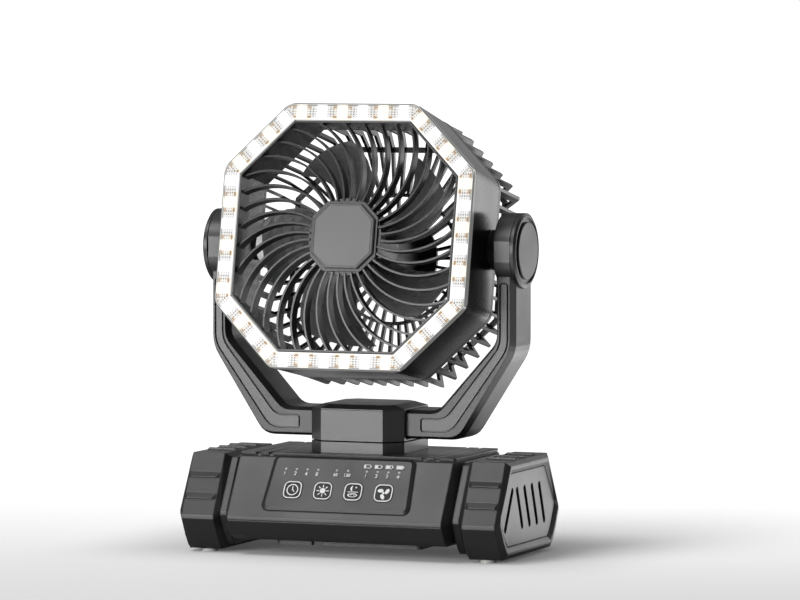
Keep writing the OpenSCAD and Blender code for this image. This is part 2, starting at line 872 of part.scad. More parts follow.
function strip_side(s) = let (
    w = [inlay_w, inlay_w, inlay_foot_w, inlay_foot_w] / 2,
    c = [for (i = [0:3]) side_step(strip_corners, i, s * w[i])]
) concat([c[0]], ease(c[0], c[1], c[2], inlay_ease), ease(c[1], c[2], c[3], inlay_ease), [c[3]]);

module inlay_outline(d) {
    offset(r = d + groove_w, $fn = round_fn) offset(delta = -groove_w)
        polygon(concat(strip_side(1), [for (i = [len(strip_side(-1)) - 1:-1:0]) strip_side(-1)[i]]));
}
module inlay_solid(side, d, t) {
    on_side(side) translate([0, t - yoke_depth / 2, 0]) rotate([90, 0, 0])
        linear_extrude(t + d) inlay_outline(d);
}
module left_inlay() color(pale) inlay_solid(-1, 0, inlay_t);
module right_inlay() color(pale) inlay_solid(1, 0, inlay_t);

notch_depth = 1.5;
notch_w = 15.8;
boss_step = 1.6;
boss_start = arm_in + boss_step;
cap_rim_t = 0.7;
boss_end = arm_out - cap_rim_t - fit_gap;
pin_stop = 6;
pin_end = arm_out - pin_stop;

module pivot_boss() {
    difference() {
        union() {
            along_x(boss_start) cylinder(r = boss_r, h = boss_end - boss_start);
            along_x(arm_in) cylinder(r = yoke_depth / 2 - yoke_edge, h = boss_end - arm_in);
        }
        for (a = [0, 90, 180]) rotate([a, 0, 0])
            translate([boss_start - over, -boss_r - over, -notch_w / 2])
                cube([boss_end - boss_start + 2 * over, notch_depth + over, notch_w]);
    }
}

module yoke_frame() {
    color(dark) difference() {
        union() {
            difference() {
                yoke_bar(-yoke_depth / 2, yoke_split, yoke_edge, 0);
                both_sides() translate([boss_end, 0, pivot_z]) rotate([0, 90, 0])
                    cylinder(r = boss_r + fit_gap, h = arm_t);
            }
            both_sides() translate([0, 0, pivot_z]) pivot_boss();
        }
        both_sides() translate([arm_in - over, 0, pivot_z]) rotate([0, 90, 0])
            cylinder(r = pin_r + run_gap, h = pin_end - arm_in + over + fit_gap);
        inlay_solid(1, groove_w, inlay_t);
        inlay_solid(-1, groove_w, inlay_t);
        translate([0, 0, bar_z - over]) cylinder(r = stub_r + tight_gap, h = stub_h + fit_gap + over);
    }
}
module yoke_rear_cover() {
    color(dark) difference() {
        yoke_bar(yoke_split, yoke_depth / 2, 0, yoke_edge);
        both_sides() translate([arm_in - over, 0, pivot_z]) rotate([0, 90, 0])
            cylinder(r = boss_r + fit_gap, h = arm_t + 2 * over);
    }
}

cap_bevel = 2.2;
cap_bevel_h = 1.4;
cap_face_r = 21.4;
cap_groove_w = 3;
cap_groove_depth = 1.2;
cap_face_proud = 0.9;
module pivot_cap(side) {
    back = arm_out - cap_rim_t;
    shoulder = arm_out + cap_proud - cap_face_proud;
    rim = shoulder - cap_bevel_h;
    face = arm_out + cap_proud;
    bevel_r = boss_r - cap_bevel;
    color(mid) on_side(side) translate([0, 0, pivot_z]) rotate([0, 90, 0])
        rotate_extrude() polygon([
            [0, back], [boss_r, back], [boss_r, rim], [bevel_r, shoulder],
            [cap_face_r + cap_groove_w, shoulder],
            [cap_face_r + cap_groove_w, shoulder - cap_groove_depth],
            [cap_face_r, shoulder - cap_groove_depth],
            [cap_face_r, face - cap_groove_depth / 2],
            [cap_face_r - cap_groove_depth / 2, face], [0, face]
        ]);
}
module left_pivot_cap() pivot_cap(-1);
module right_pivot_cap() pivot_cap(1);

// Head parts are drawn face up: x to the right, y up and z towards the front,
// with the tilt axis through the origin

head_half = head_w / 2;
shell_front = head_front - lens_depth;
duct_half = head_half - head_taper - duct_wall;
cage_half = head_half - head_taper;
ear_r = 15;
ear_sunk = 0.6;
ear_face = head_half - ear_sunk;
pin_flange_r = 11;
pin_flange_t = 2.4;

module in_head() {
    translate([0, 0, pivot_z]) rotate([90 - head_tilt, 0, 0]) children();
}
module soft_octagon(d, r) {
    offset(r = r, $fn = round_fn) offset(delta = -r)
        polygon(inset_octagon(head_half, head_corner, d));
}
module sharp_octagon(d) {
    polygon(inset_octagon(head_half, head_corner, d));
}

module friction_ring(side) {
    color(black) on_side(side) translate([0, 0, pivot_z]) along_x(ear_face) difference() {
        cylinder(r = ear_r, h = arm_in - fit_gap - ear_face);
        translate([0, 0, -over]) cylinder(r = pin_r + run_gap, h = arm_t);
    }
}
module left_friction_ring() friction_ring(-1);
module right_friction_ring() friction_ring(1);

module tilt_pin(side) {
    color(steel) on_side(side) translate([0, 0, pivot_z]) {
        along_x(duct_half - pin_flange_t) cylinder(r = pin_flange_r, h = pin_flange_t);
        along_x(duct_half - pin_flange_t)
            cylinder(r = pin_r, h = pin_end - duct_half + pin_flange_t);
    }
}
module left_tilt_pin() tilt_pin(-1);
module right_tilt_pin() tilt_pin(1);

// Housing, ring light

band_back = 36.5;
flange_t = 2;
lip_back = band_back + flange_t;
channel_out = 2.6;
channel_w = 6.6;
channel_depth = 2.2;
led_board_t = 1.6;
led_h = 1.6;
lens_bevel = 1;

module head_housing() {
    color(dark) in_head() difference() {
        union() {
            translate([0, 0, shell_front]) mirror([0, 0, 1])
                linear_extrude(shell_front + head_back, scale = cage_half / head_half)
                    soft_octagon(0, head_round);
            both_sides() along_x(duct_half) cylinder(r = ear_r, h = ear_face - duct_half);
        }
        translate([0, 0, -head_back - over]) linear_extrude(lip_back + head_back + over)
            sharp_octagon(head_half - duct_half);
        translate([0, 0, lip_back - over]) linear_extrude(shell_front - lip_back + 2 * over)
            sharp_octagon(ring_w);
        translate([0, 0, shell_front - channel_depth]) linear_extrude(channel_depth + over)
            difference() {
                sharp_octagon(channel_out);
                sharp_octagon(channel_out + channel_w);
            }
        both_sides() along_x(duct_half - over)
            cylinder(r = pin_r + tight_gap, h = ear_face - duct_half + 2 * over);
    }
}

module light_lens() {
    color(glow) in_head() translate([0, 0, shell_front]) difference() {
        hull() {
            linear_extrude(lens_depth - lens_bevel) soft_octagon(0, head_round);
            linear_extrude(lens_depth) soft_octagon(lens_bevel, head_round - lens_bevel);
        }
        translate([0, 0, -over]) linear_extrude(lens_depth + 2 * over) sharp_octagon(ring_w);
        translate([0, 0, -over]) linear_extrude(lens_depth - lens_wall + over) difference() {
            soft_octagon(lens_wall, head_round - lens_wall);
            sharp_octagon(ring_w - lens_wall);
        }
    }
}

module led_board() {
    color(board_green) in_head() translate([0, 0, shell_front - channel_depth])
        linear_extrude(led_board_t) difference() {
            sharp_octagon(channel_out + fit_gap);
            sharp_octagon(channel_out + channel_w - fit_gap);
        }
}

// Places of the light chips along the ring: one list per side, first chip of each colour in turn
led_path = inset_octagon(head_half, head_corner, channel_out + channel_w / 2);
function side_leds(i) = i % 2 == 0 ? corner_side_count : long_side_count;
led_places = [
    for (i = [0:7]) let (a = led_path[i], b = led_path[(i + 1) % 8], n = side_leds(i))
        for (k = [0:n - 1]) [mix(a, b, (k + 1 / 2) / n), atan2(b.y - a.y, b.x - a.x)]
];

module led_chips(first) {
    in_head() for (i = [first:2:len(led_places) - 1])
        translate([led_places[i][0].x, led_places[i][0].y, shell_front - channel_depth + led_board_t])
            rotate([0, 0, led_places[i][1]]) translate([-led_size / 2, -led_size / 2, 0])
                cube([led_size, led_size, led_h]);
}
module cool_leds() color(glow) led_chips(0);
module warm_leds() color(amber) led_chips(1);

// Front grille: curved vanes that lean back from the hub to an octagonal band

hub_r = 29;
hub_back = 43;
hub_front = 52;
collar_half = 26.2;
badge_corner = 11.5;
vane_start = hub_r - vane_t;
vane_sunk = 1;
vane_front = head_front - vane_sunk;
vane_below = 0.6;
band_inset = ring_w + fit_gap;
band_lip = 0.5;
vane_sweep = 92;
vane_turn = 5.2;
vane_heading = -4;

module arc_plate(bend, sweep, t, depth) {
    translate([0, bend, -depth]) rotate([0, 0, -90]) rotate_extrude(angle = sweep)
        translate([bend - t / 2, 0]) square([t, depth]);
}

module front_grille() {
    color(dark) in_head() {
        translate([0, 0, band_back]) linear_extrude(head_front - band_lip - band_back) difference() {
            sharp_octagon(band_inset);
            sharp_octagon(band_inset + band_t);
        }
        translate([0, 0, band_back]) linear_extrude(flange_t) difference() {
            sharp_octagon(head_half - duct_half + fit_gap);
            sharp_octagon(band_inset + band_t);
        }
        translate([0, 0, hub_back]) cylinder(r = hub_r, h = hub_front - hub_back);
        translate([0, 0, hub_back]) linear_extrude(vane_front - hub_back)
            polygon(octagon(collar_half, badge_corner));
        intersection() {
            for (i = [0:front_vanes - 1]) rotate([0, 0, vane_turn + 360 * i / front_vanes])
                translate([vane_start, 0, vane_front - vane_below])
                    rotate([0, vane_lean, vane_heading])
                        arc_plate(vane_bend, vane_sweep, vane_t, vane_depth);
            linear_extrude(head_front) sharp_octagon(band_inset + band_t / 2);
        }
    }
}

badge_t = 2.6;
badge_bevel = 0.8;
badge_groove_in = 1.4;
badge_groove_w = 0.6;
badge_groove_depth = 0.4;
module badge() {
    color(pale) in_head() translate([0, 0, vane_front]) difference() {
        hull() {
            linear_extrude(badge_t - badge_bevel) polygon(octagon(badge_w / 2, badge_corner));
            linear_extrude(badge_t) polygon(inset_octagon(badge_w / 2, badge_corner, badge_bevel));
        }
        translate([0, 0, badge_t - badge_groove_depth]) linear_extrude(over) difference() {
            polygon(inset_octagon(badge_w / 2, badge_corner, badge_groove_in));
            polygon(inset_octagon(badge_w / 2, badge_corner, badge_groove_in + badge_groove_w));
        }
    }
}

// Rear grille: ribs that run back from the housing, slope in to a rim and on to a ring,
// and short ribs from there to the hub

cage_back = head_back + cage_depth;
cage_flange = 4;
cage_bar = 4;
cage_slope = 7.5;
cage_slope_in = 11.5;
cage_rim_w = 4;
cage_hub_r = 33;
cage_ring_t = 2.4;
cage_ring_depth = 2.8;
cage_ring_r = 49.5;
ring_sunk = 0.6;
rib_inset = 0.4;
rib_start = head_taper + rib_inset;
hub_rib_turn = 2.2;

module cage_solid(inset, back) {
    translate([0, 0, back - cage_back]) hull() {
        translate([0, 0, cage_slope]) linear_extrude(cage_depth - cage_slope)
            sharp_octagon(rib_start + inset);
        linear_extrude(cage_depth) sharp_octagon(rib_start + cage_slope_in + inset);
    }
}
module cage_ribs() {
    difference() {
        intersection() {
            for (i = [0:rear_ribs - 1]) rotate([0, 0, 360 * i / rear_ribs])
                translate([cage_ring_r, -rib_t / 2, -cage_back - over])
                    cube([head_w, rib_t, cage_depth + over - cage_flange / 2]);
            cage_solid(0, 0);
        }
        cage_solid(rib_leg, cage_bar);
    }
}
module rear_grille() {
    color(dark) in_head() difference() {
        union() {
            translate([0, 0, -head_back - cage_flange]) linear_extrude(cage_flange) difference() {
                soft_octagon(head_taper, head_round - head_taper);
                sharp_octagon(head_half - duct_half);
            }
            cage_ribs();
            translate([0, 0, ring_sunk - cage_back]) linear_extrude(cage_ring_depth) difference() {
                sharp_octagon(rib_start + cage_slope_in);
                sharp_octagon(rib_start + cage_slope_in + cage_rim_w);
            }
            translate([0, 0, ring_sunk - cage_back]) linear_extrude(cage_ring_depth) difference() {
                circle(cage_ring_r + cage_ring_t / 2);
                circle(cage_ring_r - cage_ring_t / 2);
            }
            for (i = [0:hub_ribs - 1]) rotate([0, 0, hub_rib_turn + 360 * i / hub_ribs])
                translate([cage_hub_r - over, -rib_t / 2, ring_sunk / 2 - cage_back])
                    cube([cage_ring_r - cage_hub_r + over, rib_t, cage_bar - ring_sunk]);
            translate([0, 0, -cage_back]) cylinder(r = cage_hub_r, h = cage_bar - over);
        }
        both_sides() along_x(duct_half - rib_leg)
            cylinder(r = ear_r + fit_gap, h = rib_leg + duct_wall + 2 * over);
        translate([0, 0, -cage_back - over])
            cylinder(r = cover_stem_r + tight_gap, h = cage_bar + 2 * over);
    }
}

cover_r = 30;
cover_t = 3;
cover_bevel = 1.6;
cover_stem_r = 6;
module rear_hub_cover() {
    color(mid) in_head() translate([0, 0, -cage_back]) rotate_extrude() polygon([
        [0, cage_bar / 2], [cover_stem_r, cage_bar / 2], [cover_stem_r, 0], [cover_r, 0],
        [cover_r, cover_bevel - cover_t], [cover_r - cover_bevel, -cover_t], [0, -cover_t]
    ]);
}

// Fan motor, shaft and impeller

motor_r = 20;
motor_front = -6;
motor_nose = 4;
motor_nose_r = 8;
shaft_r = 2.5;
shaft_back = -30;
shaft_front = 36;
impeller_back = 2;
impeller_face = 34;
impeller_web = 8;
impeller_cup_r = 21;
blade_mid = 19;
blade_root_angle = 46;
blade_tip_angle = 40;
blade_root_rise = 26;
blade_tip_rise = 20;
blade_camber = 3;
blade_sweep = 22;
blade_rows = 7;
blade_cols = 6;
blade_turn = 23;

module fan_motor() {
    color(steel) in_head() difference() {
        union() {
            translate([0, 0, cage_bar - over - cage_back])
                cylinder(r = motor_r, h = motor_front - cage_bar + over + cage_back);
            translate([0, 0, motor_front - over]) cylinder(r = motor_nose_r, h = motor_nose + over);
        }
        translate([0, 0, shaft_back - fit_gap])
            cylinder(r = shaft_r + run_gap, h = motor_front + motor_nose - shaft_back + over);
    }
}
module motor_shaft() {
    color(steel) in_head() translate([0, 0, shaft_back])
        cylinder(r = shaft_r, h = shaft_front - shaft_back);
}

// A point of a blade: s runs along the blade, c across it, up is the side of its skin
function blade_point(s, c, up) = let (
    r = mix(impeller_hub_r - blade_t, blade_r, s),
    a = blade_sweep * s * s + (c - 1 / 2) * mix(blade_root_angle, blade_tip_angle, s),
    z = blade_mid + (1 / 2 - c) * mix(blade_root_rise, blade_tip_rise, s)
        + blade_camber * sin(180 * c) + up * blade_t / 2
) [r * cos(a), r * sin(a), z];

module blade() {
    row = blade_cols + 1;
    skin = row * (blade_rows + 1);
    points = [
        for (up = [-1, 1], i = [0:blade_rows], j = [0:blade_cols])
            blade_point(i / blade_rows, j / blade_cols, up)
    ];
    edge = concat(
        [for (j = [0:blade_cols - 1]) j],
        [for (i = [0:blade_rows - 1]) i * row + blade_cols],
        [for (j = [blade_cols:-1:1]) blade_rows * row + j],
        [for (i = [blade_rows:-1:1]) i * row]
    );
    faces = concat(
        [for (i = [0:blade_rows - 1], j = [0:blade_cols - 1], t = [0, 1])
            let (a = i * row + j)
            t == 0 ? [a, a + row + 1, a + 1] : [a, a + row, a + row + 1]],
        [for (i = [0:blade_rows - 1], j = [0:blade_cols - 1], t = [0, 1])
            let (a = skin + i * row + j)
            t == 0 ? [a, a + 1, a + row + 1] : [a, a + row + 1, a + row]],
        [for (k = [0:len(edge) - 1], t = [0, 1])
            let (a = edge[k], b = edge[(k + 1) % len(edge)])
            t == 0 ? [a, b + skin, a + skin] : [a, b, b + skin]]
    );
    polyhedron(points, faces, convexity = 4);
}

module impeller() {
    color(mid) in_head() difference() {
        union() {
            translate([0, 0, impeller_back]) cylinder(r = impeller_hub_r, h = impeller_face - impeller_back);
            for (i = [0:blades - 1]) rotate([0, 0, blade_turn + 360 * i / blades]) blade();
        }
        translate([0, 0, impeller_back - over])
            cylinder(r = impeller_cup_r, h = impeller_face - impeller_back - impeller_web + over);
        translate([0, 0, impeller_back])
            cylinder(r = shaft_r + tight_gap, h = impeller_face);
    }
}
nut_r = 7;
nut_h = 6;
module impeller_nut() {
    color(steel) in_head() translate([0, 0, impeller_face]) difference() {
        cylinder(r = nut_r, h = nut_h, $fn = 6);
        translate([0, 0, -over]) cylinder(r = shaft_r + tight_gap, h = shaft_front - impeller_face + over + fit_gap);
    }
}

base_upper_shell();
base_lower_shell();
left_end_band();
right_end_band();
left_end_cap();
right_end_cap();
left_vent_panel();
right_vent_panel();
feet();
control_panel();
indicator_lights();
control_board();
timer_button();
light_button();
swing_button();
fan_button();
battery_tray();
battery_cells();
swing_motor();
swing_pinion();
port_plate();
usb_c_socket();
usb_a_socket();
hanging_hook();
hook_pins();
neck_collar();
spindle_washer();
swivel_spindle();
swing_gear();
neck_block();
neck_cover();
yoke_frame();
yoke_rear_cover();
left_inlay();
right_inlay();
left_pivot_cap();
right_pivot_cap();
left_friction_ring();
right_friction_ring();
left_tilt_pin();
right_tilt_pin();
head_housing();
light_lens();
led_board();
cool_leds();
warm_leds();
front_grille();
badge();
rear_grille();
fan_motor();
rear_hub_cover();
motor_shaft();
impeller();
impeller_nut();
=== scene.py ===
# %% [markdown]
# # Portable camping fan
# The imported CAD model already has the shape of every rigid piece. This script dresses it: it gives
# each piece a finish, makes the lit lens, the printed marks and the screws, and sets up a camera
# and soft light. Everything is in metres, in the same frame as the CAD model.

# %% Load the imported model
import json
import math

import bpy
from mathutils import Matrix, Vector


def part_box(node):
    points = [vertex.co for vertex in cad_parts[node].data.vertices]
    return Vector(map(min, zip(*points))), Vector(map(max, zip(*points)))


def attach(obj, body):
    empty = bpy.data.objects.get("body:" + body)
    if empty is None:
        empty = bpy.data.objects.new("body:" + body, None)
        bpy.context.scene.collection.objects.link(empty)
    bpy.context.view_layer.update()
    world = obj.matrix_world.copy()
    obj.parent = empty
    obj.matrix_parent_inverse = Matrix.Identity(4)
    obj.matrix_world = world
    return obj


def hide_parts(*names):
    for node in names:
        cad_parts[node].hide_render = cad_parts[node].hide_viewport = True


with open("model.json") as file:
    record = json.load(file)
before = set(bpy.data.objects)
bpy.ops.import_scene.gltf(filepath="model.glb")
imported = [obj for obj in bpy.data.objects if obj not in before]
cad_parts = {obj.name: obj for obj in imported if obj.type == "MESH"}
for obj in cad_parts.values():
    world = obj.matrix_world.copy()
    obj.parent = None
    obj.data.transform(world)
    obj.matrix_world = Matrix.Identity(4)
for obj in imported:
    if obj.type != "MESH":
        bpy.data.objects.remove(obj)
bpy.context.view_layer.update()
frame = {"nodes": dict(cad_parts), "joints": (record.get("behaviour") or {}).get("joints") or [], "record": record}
MM = 0.001

# %% [markdown]
# ## Camera
# The photo is taken with a long lens from a little to the right and just above the base. A long
# lens far away keeps the octagon's sides nearly parallel. The camera is aimed at a point in the
# middle of the picture and turned with a track quaternion, so it has no roll.

# %% Camera
look_at = Vector((0.02413, 0, 0.18923))
view_azimuth, view_elevation = math.radians(21.25), math.radians(3.32)
view_distance = 3.7346
focal_length_mm = 224.4
towards_camera = Vector((
    math.sin(view_azimuth) * math.cos(view_elevation),
    -math.cos(view_azimuth) * math.cos(view_elevation),
    math.sin(view_elevation),
))
bpy.ops.object.camera_add(location=look_at + view_distance * towards_camera)
camera = bpy.context.object
camera.rotation_euler = towards_camera.to_track_quat("Z", "Y").to_euler()
camera.data.lens = focal_length_mm
camera.data.clip_end = 100
bpy.context.scene.camera = camera
print("Camera at", [round(v, 3) for v in camera.location])

# %% [markdown]
# ## Colour management, world and backdrop
# A product picture has a white background. The camera sees a white world. Gloss sees it too, but
# only low down behind the fan, where the paper backdrop hangs in a real studio: the rest of the
# room is dim, so that the bevels of dark plastic stay dark. That dim room is all the light which
# the world itself sheds on the fan. The rest comes from the lamps and off the floor.

# %% World and node helpers
bpy.context.scene.view_settings.view_transform = "Standard"
world = bpy.data.worlds.new("Studio")
bpy.context.scene.world = world
world.use_nodes = True


def link(tree, output, target):
    """Links an output socket to an input socket."""
    tree.links.new(output, target)


def add_node(tree, kind, **values):
    """Adds a node and sets its sockets by name (spaces as underscores) or its properties."""
    node = tree.nodes.new("ShaderNode" + kind)
    for key, value in values.items():
        socket = node.inputs.get(key.replace("_", " "))
        if socket is not None and not hasattr(node, key):
            socket.default_value = value
        else:
            setattr(node, key, value)
    return node


def math_node(tree, operation, *values):
    """A Math node; each value may be a number or an output socket."""
    node = add_node(tree, "Math", operation=operation)
    for socket, value in zip(node.inputs, values):
        if isinstance(value, bpy.types.NodeSocket):
            link(tree, value, socket)
        else:
            socket.default_value = value
    return node.outputs[0]


def ramp(tree, value, low, high, to_low=0.0, to_high=1.0):
    """Eases a value from one range to another."""
    node = add_node(tree, "MapRange", interpolation_type="SMOOTHSTEP", From_Min=low, From_Max=high,
                    To_Min=to_low, To_Max=to_high)
    link(tree, value, node.inputs["Value"])
    return node.outputs["Result"]


def seen_directly(tree, gloss):
    """1 for the camera's rays and rays through glass, a share for gloss, 0 for all others."""
    path = add_node(tree, "LightPath")
    glossy = math_node(tree, "MULTIPLY", path.outputs["Is Glossy Ray"], gloss)
    sharp = math_node(tree, "MAXIMUM", path.outputs["Is Camera Ray"],
                      path.outputs["Is Transmission Ray"])
    return math_node(tree, "MAXIMUM", sharp, glossy)


print("World:", world.name)

# %% What the world looks like in each direction
soft_strength, white_strength = 0.15, 1.0
tree = world.node_tree
tree.nodes.clear()
direction = add_node(tree, "TexCoord")
heading = add_node(tree, "SeparateXYZ")
link(tree, direction.outputs["Generated"], heading.inputs[0])
behind = ramp(tree, heading.outputs["Y"], 0.35, 0.85)
low_down = ramp(tree, heading.outputs["Z"], 0.42, 0.10)
to_the_right = ramp(tree, heading.outputs["X"], -0.30, 0.25, 0.34, 0.62)
backdrop = math_node(tree, "MULTIPLY", math_node(tree, "MULTIPLY", behind, low_down), to_the_right)
soft_room = add_node(tree, "Background", Color=(0.97, 0.98, 1.0, 1),
                     Strength=soft_strength)
white_room = add_node(tree, "Background", Color=(1, 1, 1, 1), Strength=white_strength)
room = add_node(tree, "MixShader")
world_output = add_node(tree, "OutputWorld")
link(tree, seen_directly(tree, backdrop), room.inputs[0])
link(tree, soft_room.outputs[0], room.inputs[1])
link(tree, white_room.outputs[0], room.inputs[2])
link(tree, room.outputs[0], world_output.inputs[0])
print("World nodes:", len(tree.nodes))

# %% [markdown]
# ## Floor
# The floor is a white sweep. Near the fan it is plain paint that takes the soft shadow. Further
# away a little of its own light is mixed in for the camera, so it runs into the white background
# with no visible edge. Under the base that light is taken off again: a painted shadow in the
# floor's glow, which leaves the contact shadow dark. The light that bounces off the floor onto the fan is that of
# a duller floor.

# %% Floor plane
bpy.ops.object.select_all(action="DESELECT")
bpy.ops.mesh.primitive_plane_add(size=60, location=(0, 20, 0))
floor = bpy.context.object
floor.name = "studio_floor"
bpy.ops.object.transform_apply(location=True)
floor_paint = bpy.data.materials.new("floor_paint")
floor_paint.use_nodes = True
tree = floor_paint.node_tree
tree.nodes.clear()
place_on_floor = add_node(tree, "TexCoord")
floor_xy = add_node(tree, "SeparateXYZ")
link(tree, place_on_floor.outputs["Object"], floor_xy.inputs[0])
floor_x, floor_y = floor_xy.outputs["X"], floor_xy.outputs["Y"]


def product(*factors):
    """Multiplies masks together."""
    result = factors[0]
    for factor in factors[1:]:
        result = math_node(tree, "MULTIPLY", result, factor)
    return result


def patch(left, right, near, far, fade=0.08):
    """1 inside a rectangle of floor, eased to 0 round it."""
    return product(ramp(tree, floor_x, left, left + fade), ramp(tree, floor_x, right, right - fade),
                   ramp(tree, floor_y, near, near + fade), ramp(tree, floor_y, far, far - fade))


print("Floor spans", [round(v) for v in floor.dimensions], "m")

# %% The floor's own light, for the camera
painted_shadow_share = 0.80
near_light = ramp(tree, floor_y, -0.6, 0.9, 0.06, 0.78)
far_light = ramp(tree, floor_y, 0.9, 5.0, 0.0, 0.35)
from_fan = add_node(tree, "VectorMath", operation="LENGTH")
link(tree, place_on_floor.outputs["Object"], from_fan.inputs[0])
all_round = ramp(tree, from_fan.outputs["Value"], 1.3, 4.5, 0.0, 1.1)
# A patch round the base where the floor's glow is cut: a painted contact shadow on the floor.
painted_shadow_under_base = patch(-0.25, 0.24, -0.15, 0.20, fade=0.13)
to_the_back = math_node(tree, "ADD", near_light, far_light)
own_light = product(math_node(tree, "MAXIMUM", to_the_back, all_round),
                    math_node(tree, "MULTIPLY_ADD", painted_shadow_under_base, -painted_shadow_share, 1.0))
white_floor = add_node(tree, "BsdfDiffuse", Color=(0.90, 0.90, 0.90, 1))
glow_floor = add_node(tree, "Emission", Color=(1, 1, 1, 1))
bright_floor = add_node(tree, "AddShader")
link(tree, own_light, glow_floor.inputs["Strength"])
link(tree, white_floor.outputs[0], bright_floor.inputs[0])
link(tree, glow_floor.outputs[0], bright_floor.inputs[1])
print("Own light is cut by", painted_shadow_share, "under the base")

# %% [markdown]
# Gloss sees a floor of its own. Behind on the right and far out to both sides it is bright, and
# elsewhere mostly dull. Two white patches are painted into it as painted reflections, which put
# highlights on the fan: one on the right for the end cap, and one in front for the ridge along the base. Only
# gloss sees them.

# %% What gloss sees of the floor
dull_share, behind_share, painted_reflection_strength = 0.20, 0.62, 2.7
dull_floor = add_node(tree, "BsdfDiffuse", Color=(0.30, 0.30, 0.31, 1))
behind_right = product(ramp(tree, floor_x, 0.02, 0.20), ramp(tree, floor_y, -0.06, 0.10))
sideways = product(ramp(tree, math_node(tree, "ABSOLUTE", floor_x), 0.45, 0.90),
                   ramp(tree, math_node(tree, "ABSOLUTE", floor_y), 0.90, 0.40))
in_gloss = math_node(tree, "MAXIMUM", sideways,
                     math_node(tree, "MULTIPLY_ADD", behind_right, behind_share, dull_share))
floor_mix = add_node(tree, "MixShader")
link(tree, seen_directly(tree, in_gloss), floor_mix.inputs[0])
link(tree, dull_floor.outputs[0], floor_mix.inputs[1])
link(tree, bright_floor.outputs[0], floor_mix.inputs[2])
# Painted reflections: two glowing patches that only gloss sees, for highlights on the end cap and on the base's
# ridge.
painted_reflection_patches = math_node(tree, "ADD", patch(0.12, 0.60, 0.02, 0.95), patch(-0.50, 0.15, -0.75, -0.14))
painted_reflection = add_node(tree, "Emission", Color=(1, 1, 1, 1), Strength=painted_reflection_strength)
with_painted_reflection = add_node(tree, "MixShader")
link(tree, product(painted_reflection_patches, add_node(tree, "LightPath").outputs["Is Glossy Ray"]),
     with_painted_reflection.inputs[0])
link(tree, floor_mix.outputs[0], with_painted_reflection.inputs[1])
link(tree, painted_reflection.outputs[0], with_painted_reflection.inputs[2])
print("Card strength:", painted_reflection_strength)

# %% [markdown]
# From below the floor is clear, so the underside of the base can be looked at.

# %% A floor that is clear from below
from_below = add_node(tree, "NewGeometry")
see_through = add_node(tree, "BsdfTransparent")
one_sided = add_node(tree, "MixShader")
floor_output = add_node(tree, "OutputMaterial")
link(tree, from_below.outputs["Backfacing"], one_sided.inputs[0])
link(tree, with_painted_reflection.outputs[0], one_sided.inputs[1])
link(tree, see_through.outputs[0], one_sided.inputs[2])
link(tree, one_sided.outputs[0], floor_output.inputs[0])
floor.data.materials.append(floor_paint)
print("Floor nodes:", len(tree.nodes))

# %% [markdown]
# ## Lamps
# Dark plastic is drawn by what it reflects, so each softbox stands where one set of faces looks
# back at it: one in front on the left for the upright faces, one high on the left for the base's
# sloping face, a strip behind on the right for the faces that look sideways, and a weak one
# overhead for the floor. Each is aimed by pointing its -Z axis at the fan. Its power follows from
# the brightness that it should have, so a softbox can change its size without changing the look.

# %% Lamps
def softbox(name, azimuth, elevation, distance, size, brightness):
    """An area lamp in a direction from the fan: azimuth 0 is in front, + to the right."""
    turn, rise = math.radians(azimuth), math.radians(elevation)
    spot = look_at + distance * Vector((
        math.sin(turn) * math.cos(rise), -math.cos(turn) * math.cos(rise), math.sin(rise)))
    bpy.ops.object.light_add(type="AREA", location=spot)
    lamp = bpy.context.object
    lamp.name = name
    lamp.data.shape = "RECTANGLE"
    lamp.data.size, lamp.data.size_y = size
    lamp.data.energy = brightness * math.pi * size[0] * size[1]
    lamp.rotation_euler = (spot - look_at).to_track_quat("Z", "Y").to_euler()
    print(name, "at", [round(v, 2) for v in spot], "power", round(lamp.data.energy, 1), "W")


softbox("front_light", -22, 7, 2.6, (1.4, 1.1), 9.5)
softbox("slope_light", -36, 52, 2.4, (1.1, 1.1), 5.2)
softbox("side_light", 157, 10, 2.6, (1.1, 1.4), 1.4)
softbox("top_light", 180, 85, 2.3, (2.4, 2.2), 0.4)

# %% [markdown]
# ## Shared effects
# Moulded plastic is never quite flat in colour. Three small node groups are built once and used in
# every finish: a fine grain with a slow drift in tone, rounded edges that catch the light, and dust
# that settles where a face looks up. A group only gives values and normals, and each material
# decides what to do with them.

# %% Node group helper
def new_group(name, inputs, outputs):
    """An empty node group with its sockets, and its input and output nodes."""
    group = bpy.data.node_groups.new(name, "ShaderNodeTree")
    for label, default in inputs:
        socket = group.interface.new_socket(label, in_out="INPUT", socket_type="NodeSocketFloat")
        socket.default_value = default
    for label, kind in outputs:
        group.interface.new_socket(label, in_out="OUTPUT", socket_type="NodeSocket" + kind)
    print("Group:", name)
    return group, group.nodes.new("NodeGroupInput"), group.nodes.new("NodeGroupOutput")


# %% Grain of a moulded surface
grain_group, group_in, group_out = new_group(
    "Moulded grain", [("Grain size", 1500.0), ("Drift size", 22.0)],
    [("Height", "Float"), ("Drift", "Float")])
coords = add_node(grain_group, "TexCoord")
for size_name, out_name, detail in (("Grain size", "Height", 2.0), ("Drift size", "Drift", 3.0)):
    noise = add_node(grain_group, "TexNoise", Detail=detail, Roughness=0.55)
    link(grain_group, coords.outputs["Object"], noise.inputs["Vector"])
    link(grain_group, group_in.outputs[size_name], noise.inputs["Scale"])
    link(grain_group, noise.outputs["Fac"], group_out.inputs[out_name])

